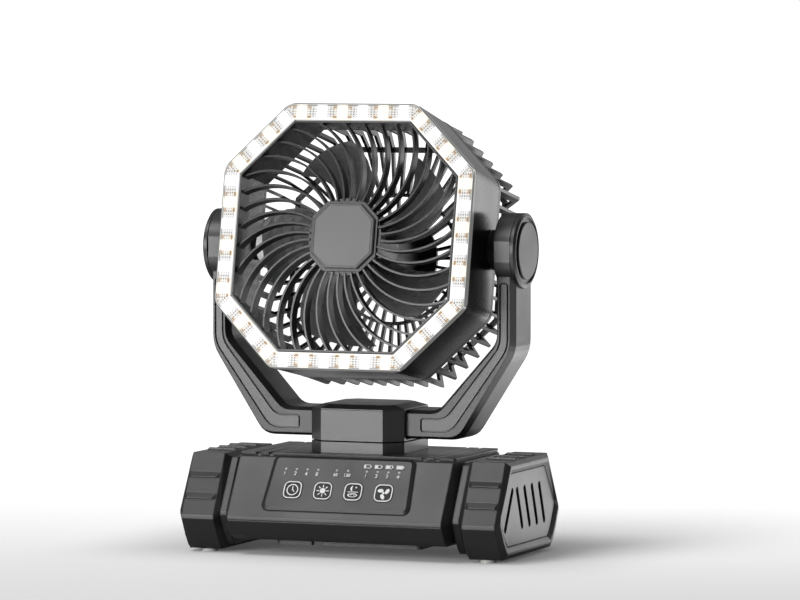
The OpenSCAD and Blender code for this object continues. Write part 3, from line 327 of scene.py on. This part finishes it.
# %% Rounded edges
edge_group, group_in, group_out = new_group(
    "Rounded edges", [("Radius", 0.0006)], [("Normal", "Vector"), ("Edge", "Float")])
bevel = add_node(edge_group, "Bevel", samples=6)
geometry = add_node(edge_group, "NewGeometry")
facing = add_node(edge_group, "VectorMath", operation="DOT_PRODUCT")
edge_mask = add_node(edge_group, "MapRange", From_Min=0.995, From_Max=0.86, To_Min=0.0, To_Max=1.0)
link(edge_group, group_in.outputs["Radius"], bevel.inputs["Radius"])
link(edge_group, bevel.outputs["Normal"], group_out.inputs["Normal"])
link(edge_group, bevel.outputs["Normal"], facing.inputs[0])
link(edge_group, geometry.outputs["True Normal"], facing.inputs[1])
link(edge_group, facing.outputs["Value"], edge_mask.inputs["Value"])
link(edge_group, edge_mask.outputs["Result"], group_out.inputs["Edge"])

# %% Settled dust
dust_group, group_in, group_out = new_group("Settled dust", [("Amount", 0.1)], [("Dust", "Float")])
coords = add_node(dust_group, "TexCoord")
speckle = add_node(dust_group, "TexNoise", Scale=420.0, Detail=4.0, Roughness=0.7)
geometry = add_node(dust_group, "NewGeometry")
split = add_node(dust_group, "SeparateXYZ")
looks_up = add_node(dust_group, "MapRange", From_Min=0.2, From_Max=1.0)
dust_amount = add_node(dust_group, "Math", operation="MULTIPLY")
dust = add_node(dust_group, "Math", operation="MULTIPLY")
link(dust_group, coords.outputs["Object"], speckle.inputs["Vector"])
link(dust_group, geometry.outputs["True Normal"], split.inputs[0])
link(dust_group, split.outputs["Z"], looks_up.inputs["Value"])
link(dust_group, looks_up.outputs["Result"], dust_amount.inputs[0])
link(dust_group, group_in.outputs["Amount"], dust_amount.inputs[1])
link(dust_group, dust_amount.outputs[0], dust.inputs[0])
link(dust_group, speckle.outputs["Fac"], dust.inputs[1])
link(dust_group, dust.outputs[0], group_out.inputs["Dust"])
print("Node groups:", [g.name for g in bpy.data.node_groups])


# %% [markdown]
# ## Finishes
# Almost everything is dark moulded plastic, but not the same dark plastic. The housings are semi
# gloss, the end caps have a fine spark-eroded grain, the inlays are a satin grey and the blades are
# glossy. One function builds them all from a colour, a roughness, a depth of grain and the size of
# the rounded edge.

# %% Helpers for materials
def group_node(tree, group, **values):
    """Adds a group to a tree and sets its sockets by name."""
    node = tree.nodes.new("ShaderNodeGroup")
    node.node_tree = group
    for key, value in values.items():
        node.inputs[key.replace("_", " ")].default_value = value
    return node


def mix_colour(tree, factor, low, high):
    """Mixes two colours; each of the three may be an output socket or a value."""
    mix = add_node(tree, "Mix", data_type="RGBA")
    sockets = mix.inputs["Factor"], mix.inputs[6], mix.inputs[7]
    for socket, value in zip(sockets, (factor, low, high)):
        if isinstance(value, bpy.types.NodeSocket):
            link(tree, value, socket)
        else:
            socket.default_value = value
    return mix.outputs[2]


def shade(colour, factor):
    """A colour made lighter or darker, with alpha 1."""
    return (*[min(1.0, c * factor) for c in colour], 1)


def new_material(name):
    """A material, its tree and its Principled node."""
    material = bpy.data.materials.new(name)
    material.use_nodes = True
    return material, material.node_tree, material.node_tree.nodes["Principled BSDF"]


print("Helpers ready")

# %% Plastic finish
dust_colour, grain_depth = (0.42, 0.41, 0.39, 1), 0.4 * MM
darker, lighter, edge_wear_and_highlight_gain = 0.82, 1.18, 1.5
glossier, rougher = 0.88, 1.15


def moulded(name, colour, roughness, grain=0.02, edge=0.0006, dust=0.05, specular=0.5):
    """Plastic with grain, a drift in tone and gloss, edges lightened as wear and as a painted highlight, and dust
    on what looks up.
    """
    material, tree, surface = new_material(name)
    texture = group_node(tree, grain_group)
    edges = group_node(tree, edge_group, Radius=edge)
    settled = group_node(tree, dust_group, Amount=dust)
    tone = mix_colour(tree, texture.outputs["Drift"], shade(colour, darker), shade(colour, lighter))
    # Rounded edges are lightened in colour: partly rubbed wear, partly a painted highlight along every edge.
    edge_wear_and_highlight = mix_colour(tree, edges.outputs["Edge"], tone, shade(colour, edge_wear_and_highlight_gain))
    dusty = mix_colour(tree, settled.outputs["Dust"], edge_wear_and_highlight, dust_colour)
    link(tree, dusty, surface.inputs["Base Color"])
    gloss = add_node(tree, "MapRange", From_Min=0.3, From_Max=0.7,
                     To_Min=roughness * glossier, To_Max=roughness * rougher)
    link(tree, texture.outputs["Drift"], gloss.inputs["Value"])
    link(tree, gloss.outputs["Result"], surface.inputs["Roughness"])
    bump = add_node(tree, "Bump", Strength=grain, Distance=grain_depth)
    link(tree, texture.outputs["Height"], bump.inputs["Height"])
    link(tree, edges.outputs["Normal"], bump.inputs["Normal"])
    link(tree, bump.outputs["Normal"], surface.inputs["Normal"])
    surface.inputs["Specular IOR Level"].default_value = specular
    return material


print("Dust colour:", dust_colour[:3])

# %% Plastics of this fan
plastics = {
    "shell_plastic": moulded("base_shell_finish", (0.018, 0.018, 0.019), 0.33, grain=0.07,
                             edge=0.0016),
    "cap_plastic": moulded("end_cap_finish", (0.019, 0.019, 0.020), 0.32, grain=0.08, edge=0.0012),
    "panel_plastic": moulded("panel_finish", (0.018, 0.018, 0.019), 0.36, grain=0.06, edge=0.0004),
    "button_plastic": moulded("button_finish", (0.008, 0.008, 0.009), 0.42, grain=0.06, edge=0.0005,
                              specular=0.3),
    "tray_plastic": moulded("black_plastic", (0.010, 0.010, 0.010), 0.45, grain=0.15, edge=0.0004),
    "gear_plastic": moulded("natural_acetal", (0.66, 0.63, 0.55), 0.36, grain=0.03, edge=0.0002),
    "hook_plastic": moulded("hook_finish", (0.10, 0.10, 0.102), 0.38, grain=0.12),
    "foot_rubber": moulded("foot_pad_finish", (0.62, 0.61, 0.58), 0.55, grain=0.10, dust=0.20),
    "friction_rubber": moulded("friction_ring_finish", (0.012, 0.012, 0.012), 0.62, grain=0.30),
    "neck_plastic": moulded("neck_finish", (0.020, 0.020, 0.021), 0.32, grain=0.10, specular=0.8),
    "yoke_plastic": moulded("yoke_finish", (0.018, 0.018, 0.019), 0.34, grain=0.12, specular=0.62),
    "inlay_plastic": moulded("inlay_finish", (0.060, 0.060, 0.061), 0.34, grain=0.08, edge=0.0003,
                             specular=0.7),
    "pivot_plastic": moulded("pivot_cap_finish", (0.018, 0.018, 0.019), 0.34, grain=0.10),
    "head_plastic": moulded("head_shell_finish", (0.010, 0.010, 0.011), 0.22, grain=0.05,
                            edge=0.0008, specular=0.34),
    "grille_plastic": moulded("grille_finish", (0.012, 0.012, 0.013), 0.30, grain=0.06,
                              edge=0.0004),
    "badge_plastic": moulded("badge_finish", (0.10, 0.10, 0.102), 0.34, grain=0.10, edge=0.0003),
    "cover_plastic": moulded("rear_cover_finish", (0.018, 0.018, 0.019), 0.36, grain=0.10),
    "blade_plastic": moulded("blade_finish", (0.11, 0.11, 0.113), 0.28, grain=0.03, edge=0.0006),
    "cell_wrap": moulded("cell_wrap_finish", (0.05, 0.14, 0.33), 0.25, grain=0.04, edge=0.0003),
}
print(len(plastics), "plastic finishes")


# %% [markdown]
# ## Metal, circuit board and light chips
# The steel parts are turned. A fine noise grain in their tone, gloss and bump stands for the marks
# of turning. The circuit board is green lacquer over copper tracks, which a brick pattern stretched into
# thin lines suggests. The light chips are yellow phosphor that glows.

# %% Steel, board and light chips
def turned_steel(name):
    """Bare steel with the fine marks of turning."""
    material, tree, surface = new_material(name)
    texture = group_node(tree, grain_group, Grain_size=2600.0, Drift_size=60.0)
    edges = group_node(tree, edge_group, Radius=0.0003)
    tone = mix_colour(tree, texture.outputs["Drift"], (0.42, 0.42, 0.43, 1), (0.66, 0.66, 0.67, 1))
    link(tree, tone, surface.inputs["Base Color"])
    gloss = add_node(tree, "MapRange", To_Min=0.20, To_Max=0.42)
    link(tree, texture.outputs["Height"], gloss.inputs["Value"])
    link(tree, gloss.outputs["Result"], surface.inputs["Roughness"])
    bump = add_node(tree, "Bump", Strength=0.08, Distance=0.0003)
    link(tree, texture.outputs["Height"], bump.inputs["Height"])
    link(tree, edges.outputs["Normal"], bump.inputs["Normal"])
    link(tree, bump.outputs["Normal"], surface.inputs["Normal"])
    surface.inputs["Metallic"].default_value = 1.0
    return material


def circuit_board(name):
    """Green lacquer over raised tracks."""
    material, tree, surface = new_material(name)
    coords = add_node(tree, "TexCoord")
    tracks = add_node(tree, "TexBrick", Scale=160.0, Mortar_Size=0.06,
                      Color1=(0.012, 0.085, 0.035, 1), Color2=(0.016, 0.11, 0.045, 1),
                      Mortar=(0.05, 0.22, 0.08, 1))
    link(tree, coords.outputs["Object"], tracks.inputs["Vector"])
    link(tree, tracks.outputs["Color"], surface.inputs["Base Color"])
    bump = add_node(tree, "Bump", Strength=0.2, Distance=0.0002)
    link(tree, tracks.outputs["Fac"], bump.inputs["Height"])
    link(tree, bump.outputs["Normal"], surface.inputs["Normal"])
    surface.inputs["Roughness"].default_value = 0.35
    return material


def glowing(name, dim, bright, strength):
    """A lit surface that varies between two colours."""
    material, tree, surface = new_material(name)
    texture = group_node(tree, grain_group, Grain_size=900.0, Drift_size=300.0)
    tone = mix_colour(tree, texture.outputs["Height"], dim, bright)
    link(tree, tone, surface.inputs["Base Color"])
    link(tree, tone, surface.inputs["Emission Color"])
    surface.inputs["Emission Strength"].default_value = strength
    surface.inputs["Roughness"].default_value = 0.3
    return material


others = {
    "bright_steel": turned_steel("turned_steel"),
    "circuit_board": circuit_board("board_lacquer"),
    "light_guide": glowing("light_guide_finish", (0.26, 0.26, 0.25, 1), (0.34, 0.34, 0.33, 1),
                           0.12),
    "cool_led": glowing("cool_chip", (0.85, 0.92, 1.0, 1), (1, 1, 1, 1), 1.0),
    "warm_led": glowing("warm_chip", (1.0, 0.66, 0.30, 1), (1.0, 0.80, 0.50, 1), 1.0),
}
print(len(others), "other finishes")

# %% [markdown]
# Each CAD piece gets the finish of its material slot. The two motors share the steel slot with the
# pins, but they get a near-black finish instead of steel, which keeps them dark and out of sight
# behind the blades. The plain lens has no finish here, because the lit lens replaces it.

# %% Give every CAD piece its finish
slot_of = {p["node"]: p["material_slot"] for p in frame["record"]["subparts"]}
finishes = {**plastics, **others}
# The motors get a near-black finish in place of steel, so that they stay dark behind the blades.
dark_motor_finish = moulded("dark_motor_can_finish", (0.010, 0.010, 0.011), 0.42, grain=0.20, edge=0.0004)
own_finish = {"fan_motor": dark_motor_finish, "swing_motor": dark_motor_finish}
undressed = []
for node_name, piece in frame["nodes"].items():
    finish = own_finish.get(node_name, finishes.get(slot_of[node_name]))
    if finish is None:
        undressed.append(node_name)
        continue
    piece.data.materials.clear()
    piece.data.materials.append(finish)
print("Dressed", len(frame["nodes"]) - len(undressed), "CAD pieces, all but", undressed)

# %% [markdown]
# ## Where new pieces go
# The head leans back, so pieces on it are made face up at the origin and then turned into place.
# The lean and the place come from the fan's own joint, so the pieces always fit the CAD model. The
# control panel is handled in the same way: its outward direction is the reverse of the direction in
# which a button is pressed.

# %% Frames of the head and of the control panel
joints = {j["name"]: j for j in frame["joints"]}
head_front = Vector(joints["impeller_spin"]["axis"]).normalized()
pivot = Vector(joints["head_tilt"]["pos_m"])
panel_out = -Vector(joints["timer_press"]["axis"]).normalized()


def frame_facing(out, origin):
    """A frame with z along out, x along the world's X and its origin at origin."""
    x = Vector((1, 0, 0))
    y = out.cross(x)
    return Matrix.Translation(origin) @ Matrix((x, y, out)).transposed().to_4x4()


in_head = frame_facing(head_front, pivot)


def farthest(node_name, direction):
    """How far a CAD piece reaches along a direction."""
    piece = frame["nodes"][node_name]
    return max(direction.dot(piece.matrix_world @ v.co) for v in piece.data.vertices)


key_row = 26
key_low, key_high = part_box("timer_button")
panel_up = panel_out.cross(Vector((1, 0, 0)))
key_middle = (Vector(key_low) + Vector(key_high)) / 2
slope_foot = panel_up * (panel_up.dot(Vector((0, key_middle.y, key_middle.z))) - key_row * MM)
on_panel = frame_facing(panel_out, slope_foot)
panel_face = farthest("control_panel", panel_out)
key_face = farthest("timer_button", panel_out)
print("Head leans", round(math.degrees(math.asin(head_front.z)), 2), "degrees")
print("Keys stand proud by", round((key_face - panel_face) / MM, 2), "mm")


def nothing_selected():
    """Clears the selection before something new is made."""
    bpy.ops.object.select_all(action="DESELECT")


def place(piece, matrix):
    """Moves a piece that was made at the origin, and leaves its object at the origin."""
    nothing_selected()
    piece.select_set(True)
    bpy.context.view_layer.objects.active = piece
    bpy.ops.object.convert(target="MESH")
    piece.matrix_world = matrix @ piece.matrix_world
    bpy.ops.object.transform_apply(location=True, rotation=True, scale=True)


def join(pieces, name):
    """Joins pieces into the first one and names it."""
    nothing_selected()
    for piece in pieces:
        piece.select_set(True)
    bpy.context.view_layer.objects.active = pieces[0]
    bpy.ops.object.join()
    pieces[0].name = name
    return pieces[0]


# %% [markdown]
# ## Ring light lens
# The lens is a clear moulding with a rim, a groove and a field of small prisms over the chips. It
# starts as a plane. Bevelling its four corners gives the octagon, bevelling those rounds the outer
# corners, and a row of insets with depths draws the section from the rim to the inner edge. The
# middle is deleted, then the large face behind it, and the two open loops are bridged, which
# closes the back.

# %% Lens body
head_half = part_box("light_lens")[1].x
corner_leg, corner_round = 48.5 * MM, 13 * MM
lens_back, outer_wall = 50 * MM, 4 * MM
round_steps = 6

nothing_selected()
bpy.ops.mesh.primitive_plane_add(size=2 * head_half, location=(0, 0, lens_back))
lens = bpy.context.object
lens.name = "prismatic_lens"
bpy.ops.object.transform_apply(location=True)
bpy.ops.object.mode_set(mode="EDIT")
bpy.ops.mesh.select_all(action="SELECT")
bpy.ops.mesh.bevel(affect="VERTICES", offset=corner_leg)
bpy.ops.mesh.select_all(action="SELECT")
bpy.ops.mesh.bevel(affect="VERTICES", offset=corner_round * math.tan(math.pi / 8),
                   segments=round_steps)
bpy.ops.mesh.select_mode(type="FACE")
bpy.ops.mesh.select_all(action="SELECT")
bpy.ops.mesh.extrude_region_move(TRANSFORM_OT_translate={"value": (0, 0, outer_wall)})
lens_section = [
    (0.4, 0.7), (0.6, 0.3), (1.1, 0), (0.2, -0.5), (0.4, 0), (0.2, 0.4), (0.5, 0.1), (6.4, 0),
    (0.5, -0.1), (0.2, -0.4), (0.4, 0), (0.2, 0.5), (1.0, 0), (0.5, -0.4),
]
for step_in, step_up in lens_section:
    bpy.ops.mesh.inset(thickness=step_in * MM, depth=step_up * MM)
print("Lens is", round(sum(s[0] for s in lens_section), 2), "mm wide")
inner_wall = 4.4 * MM
bpy.ops.mesh.extrude_region_move(TRANSFORM_OT_translate={"value": (0, 0, -inner_wall)})
bpy.ops.mesh.delete(type="FACE")
bpy.ops.object.mode_set(mode="OBJECT")
for face in lens.data.polygons:
    face.select = face.area > head_half ** 2
bpy.ops.object.mode_set(mode="EDIT")
bpy.ops.mesh.delete(type="ONLY_FACE")
bpy.ops.mesh.select_mode(type="EDGE")
bpy.ops.mesh.select_non_manifold(extend=False)
bpy.ops.mesh.bridge_edge_loops()
bpy.ops.mesh.select_all(action="SELECT")
bpy.ops.mesh.normals_make_consistent(inside=False)
bpy.ops.object.mode_set(mode="OBJECT")

# %% [markdown]
# The lens's pattern follows the ring, so it gets its own UV map: u counts the light chips along
# each of the eight sides, and v runs from the outer edge (0) to the inner edge (1).

# %% UV map along the ring
ring_width = 13 * MM
chips_long, chips_corner = 6, 4
kept_positive = 8
corner_reach = (2 * head_half - corner_leg) / math.sqrt(2)
middle_long = 2 * (head_half - corner_leg - (ring_width / 2) * math.tan(math.pi / 8))
middle_corner = corner_leg * math.sqrt(2) - ring_width * math.tan(math.pi / 8)
ring_sides = []
for i in range(8):
    angle = math.radians(45 * i)
    out = Vector((math.cos(angle), math.sin(angle), 0))
    along = Vector((-math.sin(angle), math.cos(angle), 0))
    long_side = i % 2 == 0
    ring_sides.append((
        out, along, head_half if long_side else corner_reach,
        chips_long if long_side else chips_corner, middle_long if long_side else middle_corner))


def ring_side(point):
    """The side of the octagon that a point lies nearest to."""
    return min(ring_sides, key=lambda side: side[2] - side[0].dot(point))


lens_map = lens.data.uv_layers.new(name="ring")
for face in lens.data.polygons:
    out, along, reach, chips, length = ring_side(face.center)
    for loop in face.loop_indices:
        point = lens.data.vertices[lens.data.loops[loop].vertex_index].co
        u = chips * (along.dot(point) / length + 0.5)
        lens_map.data[loop].uv = (u + kept_positive, (reach - out.dot(point)) / ring_width)
print("Lens faces:", len(lens.data.polygons),
      "chip pitch in mm:", round(middle_long / chips_long / MM, 2))

# %% [markdown]
# The glow is strongest over a chip and dim between two chips, where the prisms show as small dark
# dots. Every second chip is warm, with amber fringes. Round the outside runs a plain rim that
# pipes the light, so it is white beside a chip and grey between two. All of it is worked out from
# u and v, and masks are multiplied together to say where each effect is.

# %% Lens masks
lens_finish, tree, surface = new_material("lit_lens_finish")
ring_map = add_node(tree, "UVMap", uv_map="ring")
split = add_node(tree, "SeparateXYZ")
link(tree, ring_map.outputs["UV"], split.inputs[0])
u, v = split.outputs["X"], split.outputs["Y"]


def from_middle(value, repeats=1.0):
    """The distance from the middle of a cell when a value is cut into repeating cells."""
    cell = math_node(tree, "FRACT", math_node(tree, "MULTIPLY", value, repeats))
    return math_node(tree, "ABSOLUTE", math_node(tree, "SUBTRACT", cell, 0.5))


def strip_of(low, high, soft=0.015):
    """A mask that is 1 where v is between low and high."""
    return product(ramp(tree, v, low - soft, low + soft), ramp(tree, v, high + soft, high - soft))


print("Lens map:", ring_map.uv_map)

# %% Prisms, fringes and rim
dots_per_cell = 7.0
from_chip = from_middle(u)
warm_chip = math_node(tree, "FLOORED_MODULO", math_node(tree, "FLOOR", u), 2.0)
glow = ramp(tree, from_chip, 0.42, 0.14)
between = ramp(tree, from_chip, 0.22, 0.38)
field = strip_of(0.17, 0.86)
dot_u, dot_v = (from_middle(value, dots_per_cell) for value in (u, v))
dot_distance = math_node(tree, "SQRT", math_node(
    tree, "ADD", product(dot_u, dot_u), product(dot_v, dot_v)))
dots = product(ramp(tree, dot_distance, 0.38, 0.14), strip_of(0.20, 0.80),
               ramp(tree, glow, 0.0, 1.0, 0.85, 0.22))
fringe_bands = math_node(tree, "MAXIMUM", strip_of(0.19, 0.30, 0.04), strip_of(0.74, 0.88, 0.04))
fringe = product(warm_chip, fringe_bands, ramp(tree, from_chip, 0.20, 0.34),
                 ramp(tree, from_chip, 0.50, 0.42))
rim_shade = product(strip_of(0.10, 0.16), ramp(tree, from_chip, 0.20, 0.30))
seam = product(strip_of(0.135, 0.165, 0.012), ramp(tree, from_chip, 0.0, 0.4, 0.35, 1.0))
outline = math_node(tree, "MAXIMUM", ramp(tree, v, 0.105, 0.06), ramp(tree, v, 0.955, 0.985))
print("Mask nodes:", len(tree.nodes))

# %% Lens colours
tinted = mix_colour(tree, product(warm_chip, 0.85), (1.25, 1.25, 1.27, 1), (1.23, 1.18, 1.05, 1))
shaded = mix_colour(tree, product(between, field, 0.62), tinted, (0.68, 0.66, 0.63, 1))
dotted = mix_colour(tree, dots, shaded, (0.13, 0.10, 0.08, 1))
amber = mix_colour(tree, product(fringe, 0.9), dotted, (0.46, 0.25, 0.08, 1))
rimmed = mix_colour(tree, product(rim_shade, 0.9), amber, (0.20, 0.20, 0.17, 1))
lined = mix_colour(tree, product(seam, 0.85), rimmed, (0.16, 0.15, 0.13, 1))
edged = mix_colour(tree, product(outline, 0.9), lined, (0.07, 0.07, 0.07, 1))
clear = mix_colour(tree, 0.90, edged, (0.02, 0.02, 0.02, 1))
link(tree, edged, surface.inputs["Emission Color"])
link(tree, clear, surface.inputs["Base Color"])
surface.inputs["Emission Strength"].default_value = 0.80
surface.inputs["Specular IOR Level"].default_value = 0.25
surface.inputs["Roughness"].default_value = 0.22
lens.data.materials.append(lens_finish)
place(lens, in_head)
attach(lens, "head")
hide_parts("light_lens")
print("Lens in place, with", len(tree.nodes), "nodes")

# %% [markdown]
# ## Printed marks
# The panel's marks are white ink: numbers over the keys, and an outline and a small icon on each
# key. Each mark is made flat from a plane or a circle, cut out with an inset, and given the
# thickness of ink. They are kept a little above the surface so that they don't flicker into it.

# %% Tools for flat marks
ink, ink_lift, letter_weight = 0.06 * MM, 0.02 * MM, 0.09 * MM


def flat():
    """The piece just made, named as a mark."""
    piece = bpy.context.object
    piece.name = "mark"
    return piece


def edit(operation, **values):
    """Runs one edit-mode operator on all of the active piece."""
    bpy.ops.object.mode_set(mode="EDIT")
    bpy.ops.mesh.select_all(action="SELECT")
    operation(**values)
    bpy.ops.object.mode_set(mode="OBJECT")


def hollow(width):
    """Insets the one face of the active piece and removes its middle."""
    bpy.ops.object.mode_set(mode="EDIT")
    bpy.ops.mesh.select_mode(type="FACE")
    bpy.ops.mesh.select_all(action="SELECT")
    bpy.ops.mesh.inset(thickness=width)
    bpy.ops.mesh.delete(type="FACE")
    bpy.ops.object.mode_set(mode="OBJECT")


def bar(x, y, length, width, turn=0.0):
    """A straight stroke round x, y, turned by degrees. Sizes are in mm."""
    nothing_selected()
    bpy.ops.mesh.primitive_plane_add(size=1, location=(x * MM, y * MM, 0),
                                     rotation=(0, 0, math.radians(turn)))
    bpy.context.object.scale = (length * MM, width * MM, 1)
    bpy.ops.object.transform_apply(location=True, rotation=True, scale=True)
    return flat()


def box_line(x, y, length, height, corner, width):
    """The outline of a rectangle with round corners."""
    piece = bar(x, y, length, height)
    edit(bpy.ops.mesh.bevel, affect="VERTICES", offset=corner * MM, segments=5)
    hollow(width * MM)
    return piece


def disc(x, y, radius, sides=24):
    """A filled circle, or a polygon with few sides."""
    nothing_selected()
    bpy.ops.mesh.primitive_circle_add(vertices=sides, radius=radius * MM, fill_type="NGON",
                                      location=(x * MM, y * MM, 0))
    bpy.ops.object.transform_apply(location=True)
    return flat()


def ring(x, y, radius, width, sides=32):
    """The outline of a circle, drawn inward from its radius."""
    piece = disc(x, y, radius, sides)
    hollow(width * MM)
    return piece


def number(text, x, y, size):
    """A printed number, centred on x, y."""
    nothing_selected()
    bpy.ops.object.text_add(location=(x * MM, y * MM, 0))
    label = bpy.context.object
    label.data.body = text
    label.data.size = size * MM
    label.data.offset = letter_weight
    label.data.align_x = "CENTER"
    label.data.align_y = "CENTER"
    bpy.ops.object.convert(target="MESH")
    bpy.ops.object.transform_apply(location=True)
    return flat()


def ink_on(marks, name, height, body):
    """Joins flat marks, gives them ink's thickness and sets them on the panel's frame."""
    piece = join(marks, name)
    piece.data.materials.clear()
    thickness = piece.modifiers.new("ink", "SOLIDIFY")
    thickness.thickness = ink
    thickness.offset = 1
    bpy.ops.object.modifier_apply(modifier="ink")
    place(piece, on_panel @ Matrix.Translation((0, 0, height + ink_lift)))
    piece.data.materials.append(white_ink)
    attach(piece, body)


white_ink = moulded("white_ink", (0.80, 0.80, 0.79), 0.5, grain=0.05, edge=0.0001, dust=0.0)
print("Ink is", round(ink / MM, 3), "mm thick")

# %% Key places and the printed panel
key_x = {"timer": -36.3, "light": -12.1, "swing": 12.1, "fan": 36.3}
panel_marks = []
number_row, battery_row = 39.4, 47.2
number_size, small_size = 4.2, 3.6
for text, x in zip(("1", "2", "4", "8"), (-45.2, -36.6, -28.0, -19.4)):
    panel_marks.append(number(text, x, number_row, number_size))
for text, x in (("60", -4.6), ("120", 4.6)):
    panel_marks.append(number(text, x, number_row, small_size))
case_w, case_h, charge_w = 5.4, 3.0, 1.1
for level, x in enumerate((19.4, 28.0, 36.6, 45.2), start=1):
    panel_marks.append(number(str(level), x, number_row, number_size))
    panel_marks.append(box_line(x, battery_row, case_w, case_h, 0.4, 0.4))
    panel_marks.append(bar(x + 3.1, battery_row, 0.6, 1.4))
    panel_marks.append(bar(x - 2.2 + 0.5 * charge_w * level, battery_row, charge_w * level, 1.9))
print("Marks on the panel:", len(panel_marks))
ink_on(panel_marks, "panel_marks", panel_face, "base")

# %% [markdown]
# The icons ride on their keys, so they go down when a key is pressed: a clock for the timer, a sun
# for the light, a moon and star over a flat ring for the swing, and blades for the fan.

# %% Icons on the keys
def icon(name, marks):
    outline = box_line(key_x[name], key_row, 14.1, 13.9, 4.2, 0.8)
    ink_on([outline] + marks, name + "_icon", key_face, name + "_button")
    print(name, "icon on its key")


x = key_x["timer"]
icon("timer", [
    ring(x, key_row, 4.6, 0.75), bar(x, key_row + 1.2, 0.75, 2.9),
    bar(x + 0.9, key_row - 0.7, 2.4, 0.75, -50),
])
x, ray_reach, rays = key_x["light"], 3.8, []
for ray_angle in range(0, 360, 45):
    turn = math.radians(ray_angle)
    rays.append(bar(x + ray_reach * math.cos(turn), key_row + ray_reach * math.sin(turn), 2.0, 0.7,
                    ray_angle))
icon("light", [disc(x, key_row, 2.2)] + rays)


# %% Moon, ring and blades
def crescent(x, y, radius):
    """A moon's outline, made from a disc."""
    piece = disc(x, y, radius, 32)
    for vertex in piece.data.vertices:
        away = vertex.co.x - x * MM
        if away > 0:
            vertex.co.x = x * MM - 0.35 * away
    return piece


def squashed(piece, x, y, share, turn=0.0):
    """Narrows a flat mark across a direction through x, y."""
    across = Vector((-math.sin(math.radians(turn)), math.cos(math.radians(turn)), 0))
    for vertex in piece.data.vertices:
        away = (vertex.co - Vector((x, y, 0)) * MM).dot(across)
        vertex.co = vertex.co - across * away * (1 - share)
    return piece


x = key_x["swing"]
icon("swing", [
    crescent(x - 0.3, key_row + 2.7, 2.2), disc(x + 2.0, key_row + 3.6, 0.7, 5),
    bar(x, key_row - 0.1, 8.4, 0.45),
    squashed(ring(x, key_row - 2.7, 3.9, 1.0), x, key_row - 2.7, 0.42),
    bar(x - 1.1, key_row - 2.3, 1.7, 0.5, 25), bar(x + 1.1, key_row - 2.3, 1.7, 0.5, 155),
])
x, blade_reach, blade_sweep, fan_blades = key_x["fan"], 3.1, 38, []
for blade_angle in (25, 145, 265):
    turn = math.radians(blade_angle)
    blade_x, blade_y = x + blade_reach * math.cos(turn), key_row + blade_reach * math.sin(turn)
    fan_blades.append(squashed(disc(blade_x, blade_y, 2.3), blade_x, blade_y, 0.62,
                               blade_angle + blade_sweep))
icon("fan", [disc(x, key_row, 0.95)] + fan_blades)

# %% [markdown]
# ## Screws
# The real covers are held by small cross-head screws: four in the yoke's rear cover, three round
# the rear hub and four under the base. Each is a turned head with a cross cut into it, and it is
# set on the CAD surface that a straight line from outside meets first.

# %% Cross-head screw
screw_radius, screw_height, screw_edge, screw_lift = 2.3 * MM, 0.7 * MM, 0.25 * MM, 0.02 * MM
cross_length, cross_width, cross_turn = 2.9 * MM, 0.75 * MM, 20


def screw(name, node_name, start, inward, body):
    """A pan head on the CAD piece's surface, found by looking along inward from start."""
    hit, spot, out, _ = frame["nodes"][node_name].ray_cast(start, inward)
    if not hit:
        print(name, "found no surface and is left out")
        return
    nothing_selected()
    bpy.ops.mesh.primitive_cylinder_add(vertices=32, radius=screw_radius, depth=screw_height,
                                        location=(0, 0, screw_height / 2))
    head = bpy.context.object
    head.name = name
    softened = head.modifiers.new("edge", "BEVEL")
    softened.width, softened.segments = screw_edge, 3
    bpy.ops.object.modifier_apply(modifier="edge")
    for turn in (0, 90):
        nothing_selected()
        bpy.ops.mesh.primitive_cube_add(size=1, location=(0, 0, screw_height))
        cutter = bpy.context.object
        cutter.scale = (cross_length, cross_width, screw_height)
        cutter.rotation_euler.z = math.radians(turn + cross_turn)
        bpy.ops.object.transform_apply(location=True, rotation=True, scale=True)
        cut = head.modifiers.new("cross", "BOOLEAN")
        cut.operation, cut.object, cut.solver = "DIFFERENCE", cutter, "EXACT"
        nothing_selected()
        head.select_set(True)
        bpy.context.view_layer.objects.active = head
        bpy.ops.object.modifier_apply(modifier="cross")
        bpy.data.objects.remove(cutter)
    place(head, frame_facing(out, spot + out * screw_lift))
    head.data.materials.append(screw_steel)
    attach(head, body)
    screws_made.append(name)


print("Screw head:", round(2 * screw_radius / MM, 2), "mm across")

# %% Screws on the yoke, the hub and the underside
screw_steel = moulded("blackened_steel", (0.045, 0.045, 0.047), 0.30, grain=0.10, edge=0.0003,
                      specular=0.9)
screws_made = []
cover_low, cover_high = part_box("yoke_rear_cover")
behind_yoke = cover_high[1] + 10 * MM
arm_middle, below_pivot, bar_middle, along_bar = 7.6 * MM, 34 * MM, 7.5 * MM, 46 * MM
yoke_spots = {"arm": (cover_high[0] - arm_middle, cover_high[2] - below_pivot),
              "bar": (along_bar, cover_low[2] + bar_middle)}
for side, side_name in ((-1, "left"), (1, "right")):
    for spot_name, (x, z) in yoke_spots.items():
        screw("yoke_screw_%s_%s" % (side_name, spot_name), "yoke_rear_cover",
              Vector((side * x, behind_yoke, z)), Vector((0, -1, 0)), "yoke")
hub_low, hub_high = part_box("rear_hub_cover")
hub_middle = (Vector(hub_low) + Vector(hub_high)) / 2
behind_hub, hub_circle = 30 * MM, 22 * MM
on_hub = frame_facing(-head_front, hub_middle - head_front * behind_hub)
for index in range(3):
    angle = math.radians(90 + 120 * index)
    start = on_hub @ Vector((hub_circle * math.cos(angle), hub_circle * math.sin(angle), 0))
    screw("hub_screw_%d" % index, "rear_hub_cover", start, head_front, "head")
base_x, base_y, below_base = 72 * MM, 32 * MM, 20 * MM
for index, (side, depth) in enumerate(((-1, -1), (-1, 1), (1, -1), (1, 1))):
    screw("base_screw_%d" % index, "base_lower_shell",
          Vector((side * base_x, depth * base_y, -below_base)), Vector((0, 0, 1)), "base")
print("Screws made:", len(screws_made))
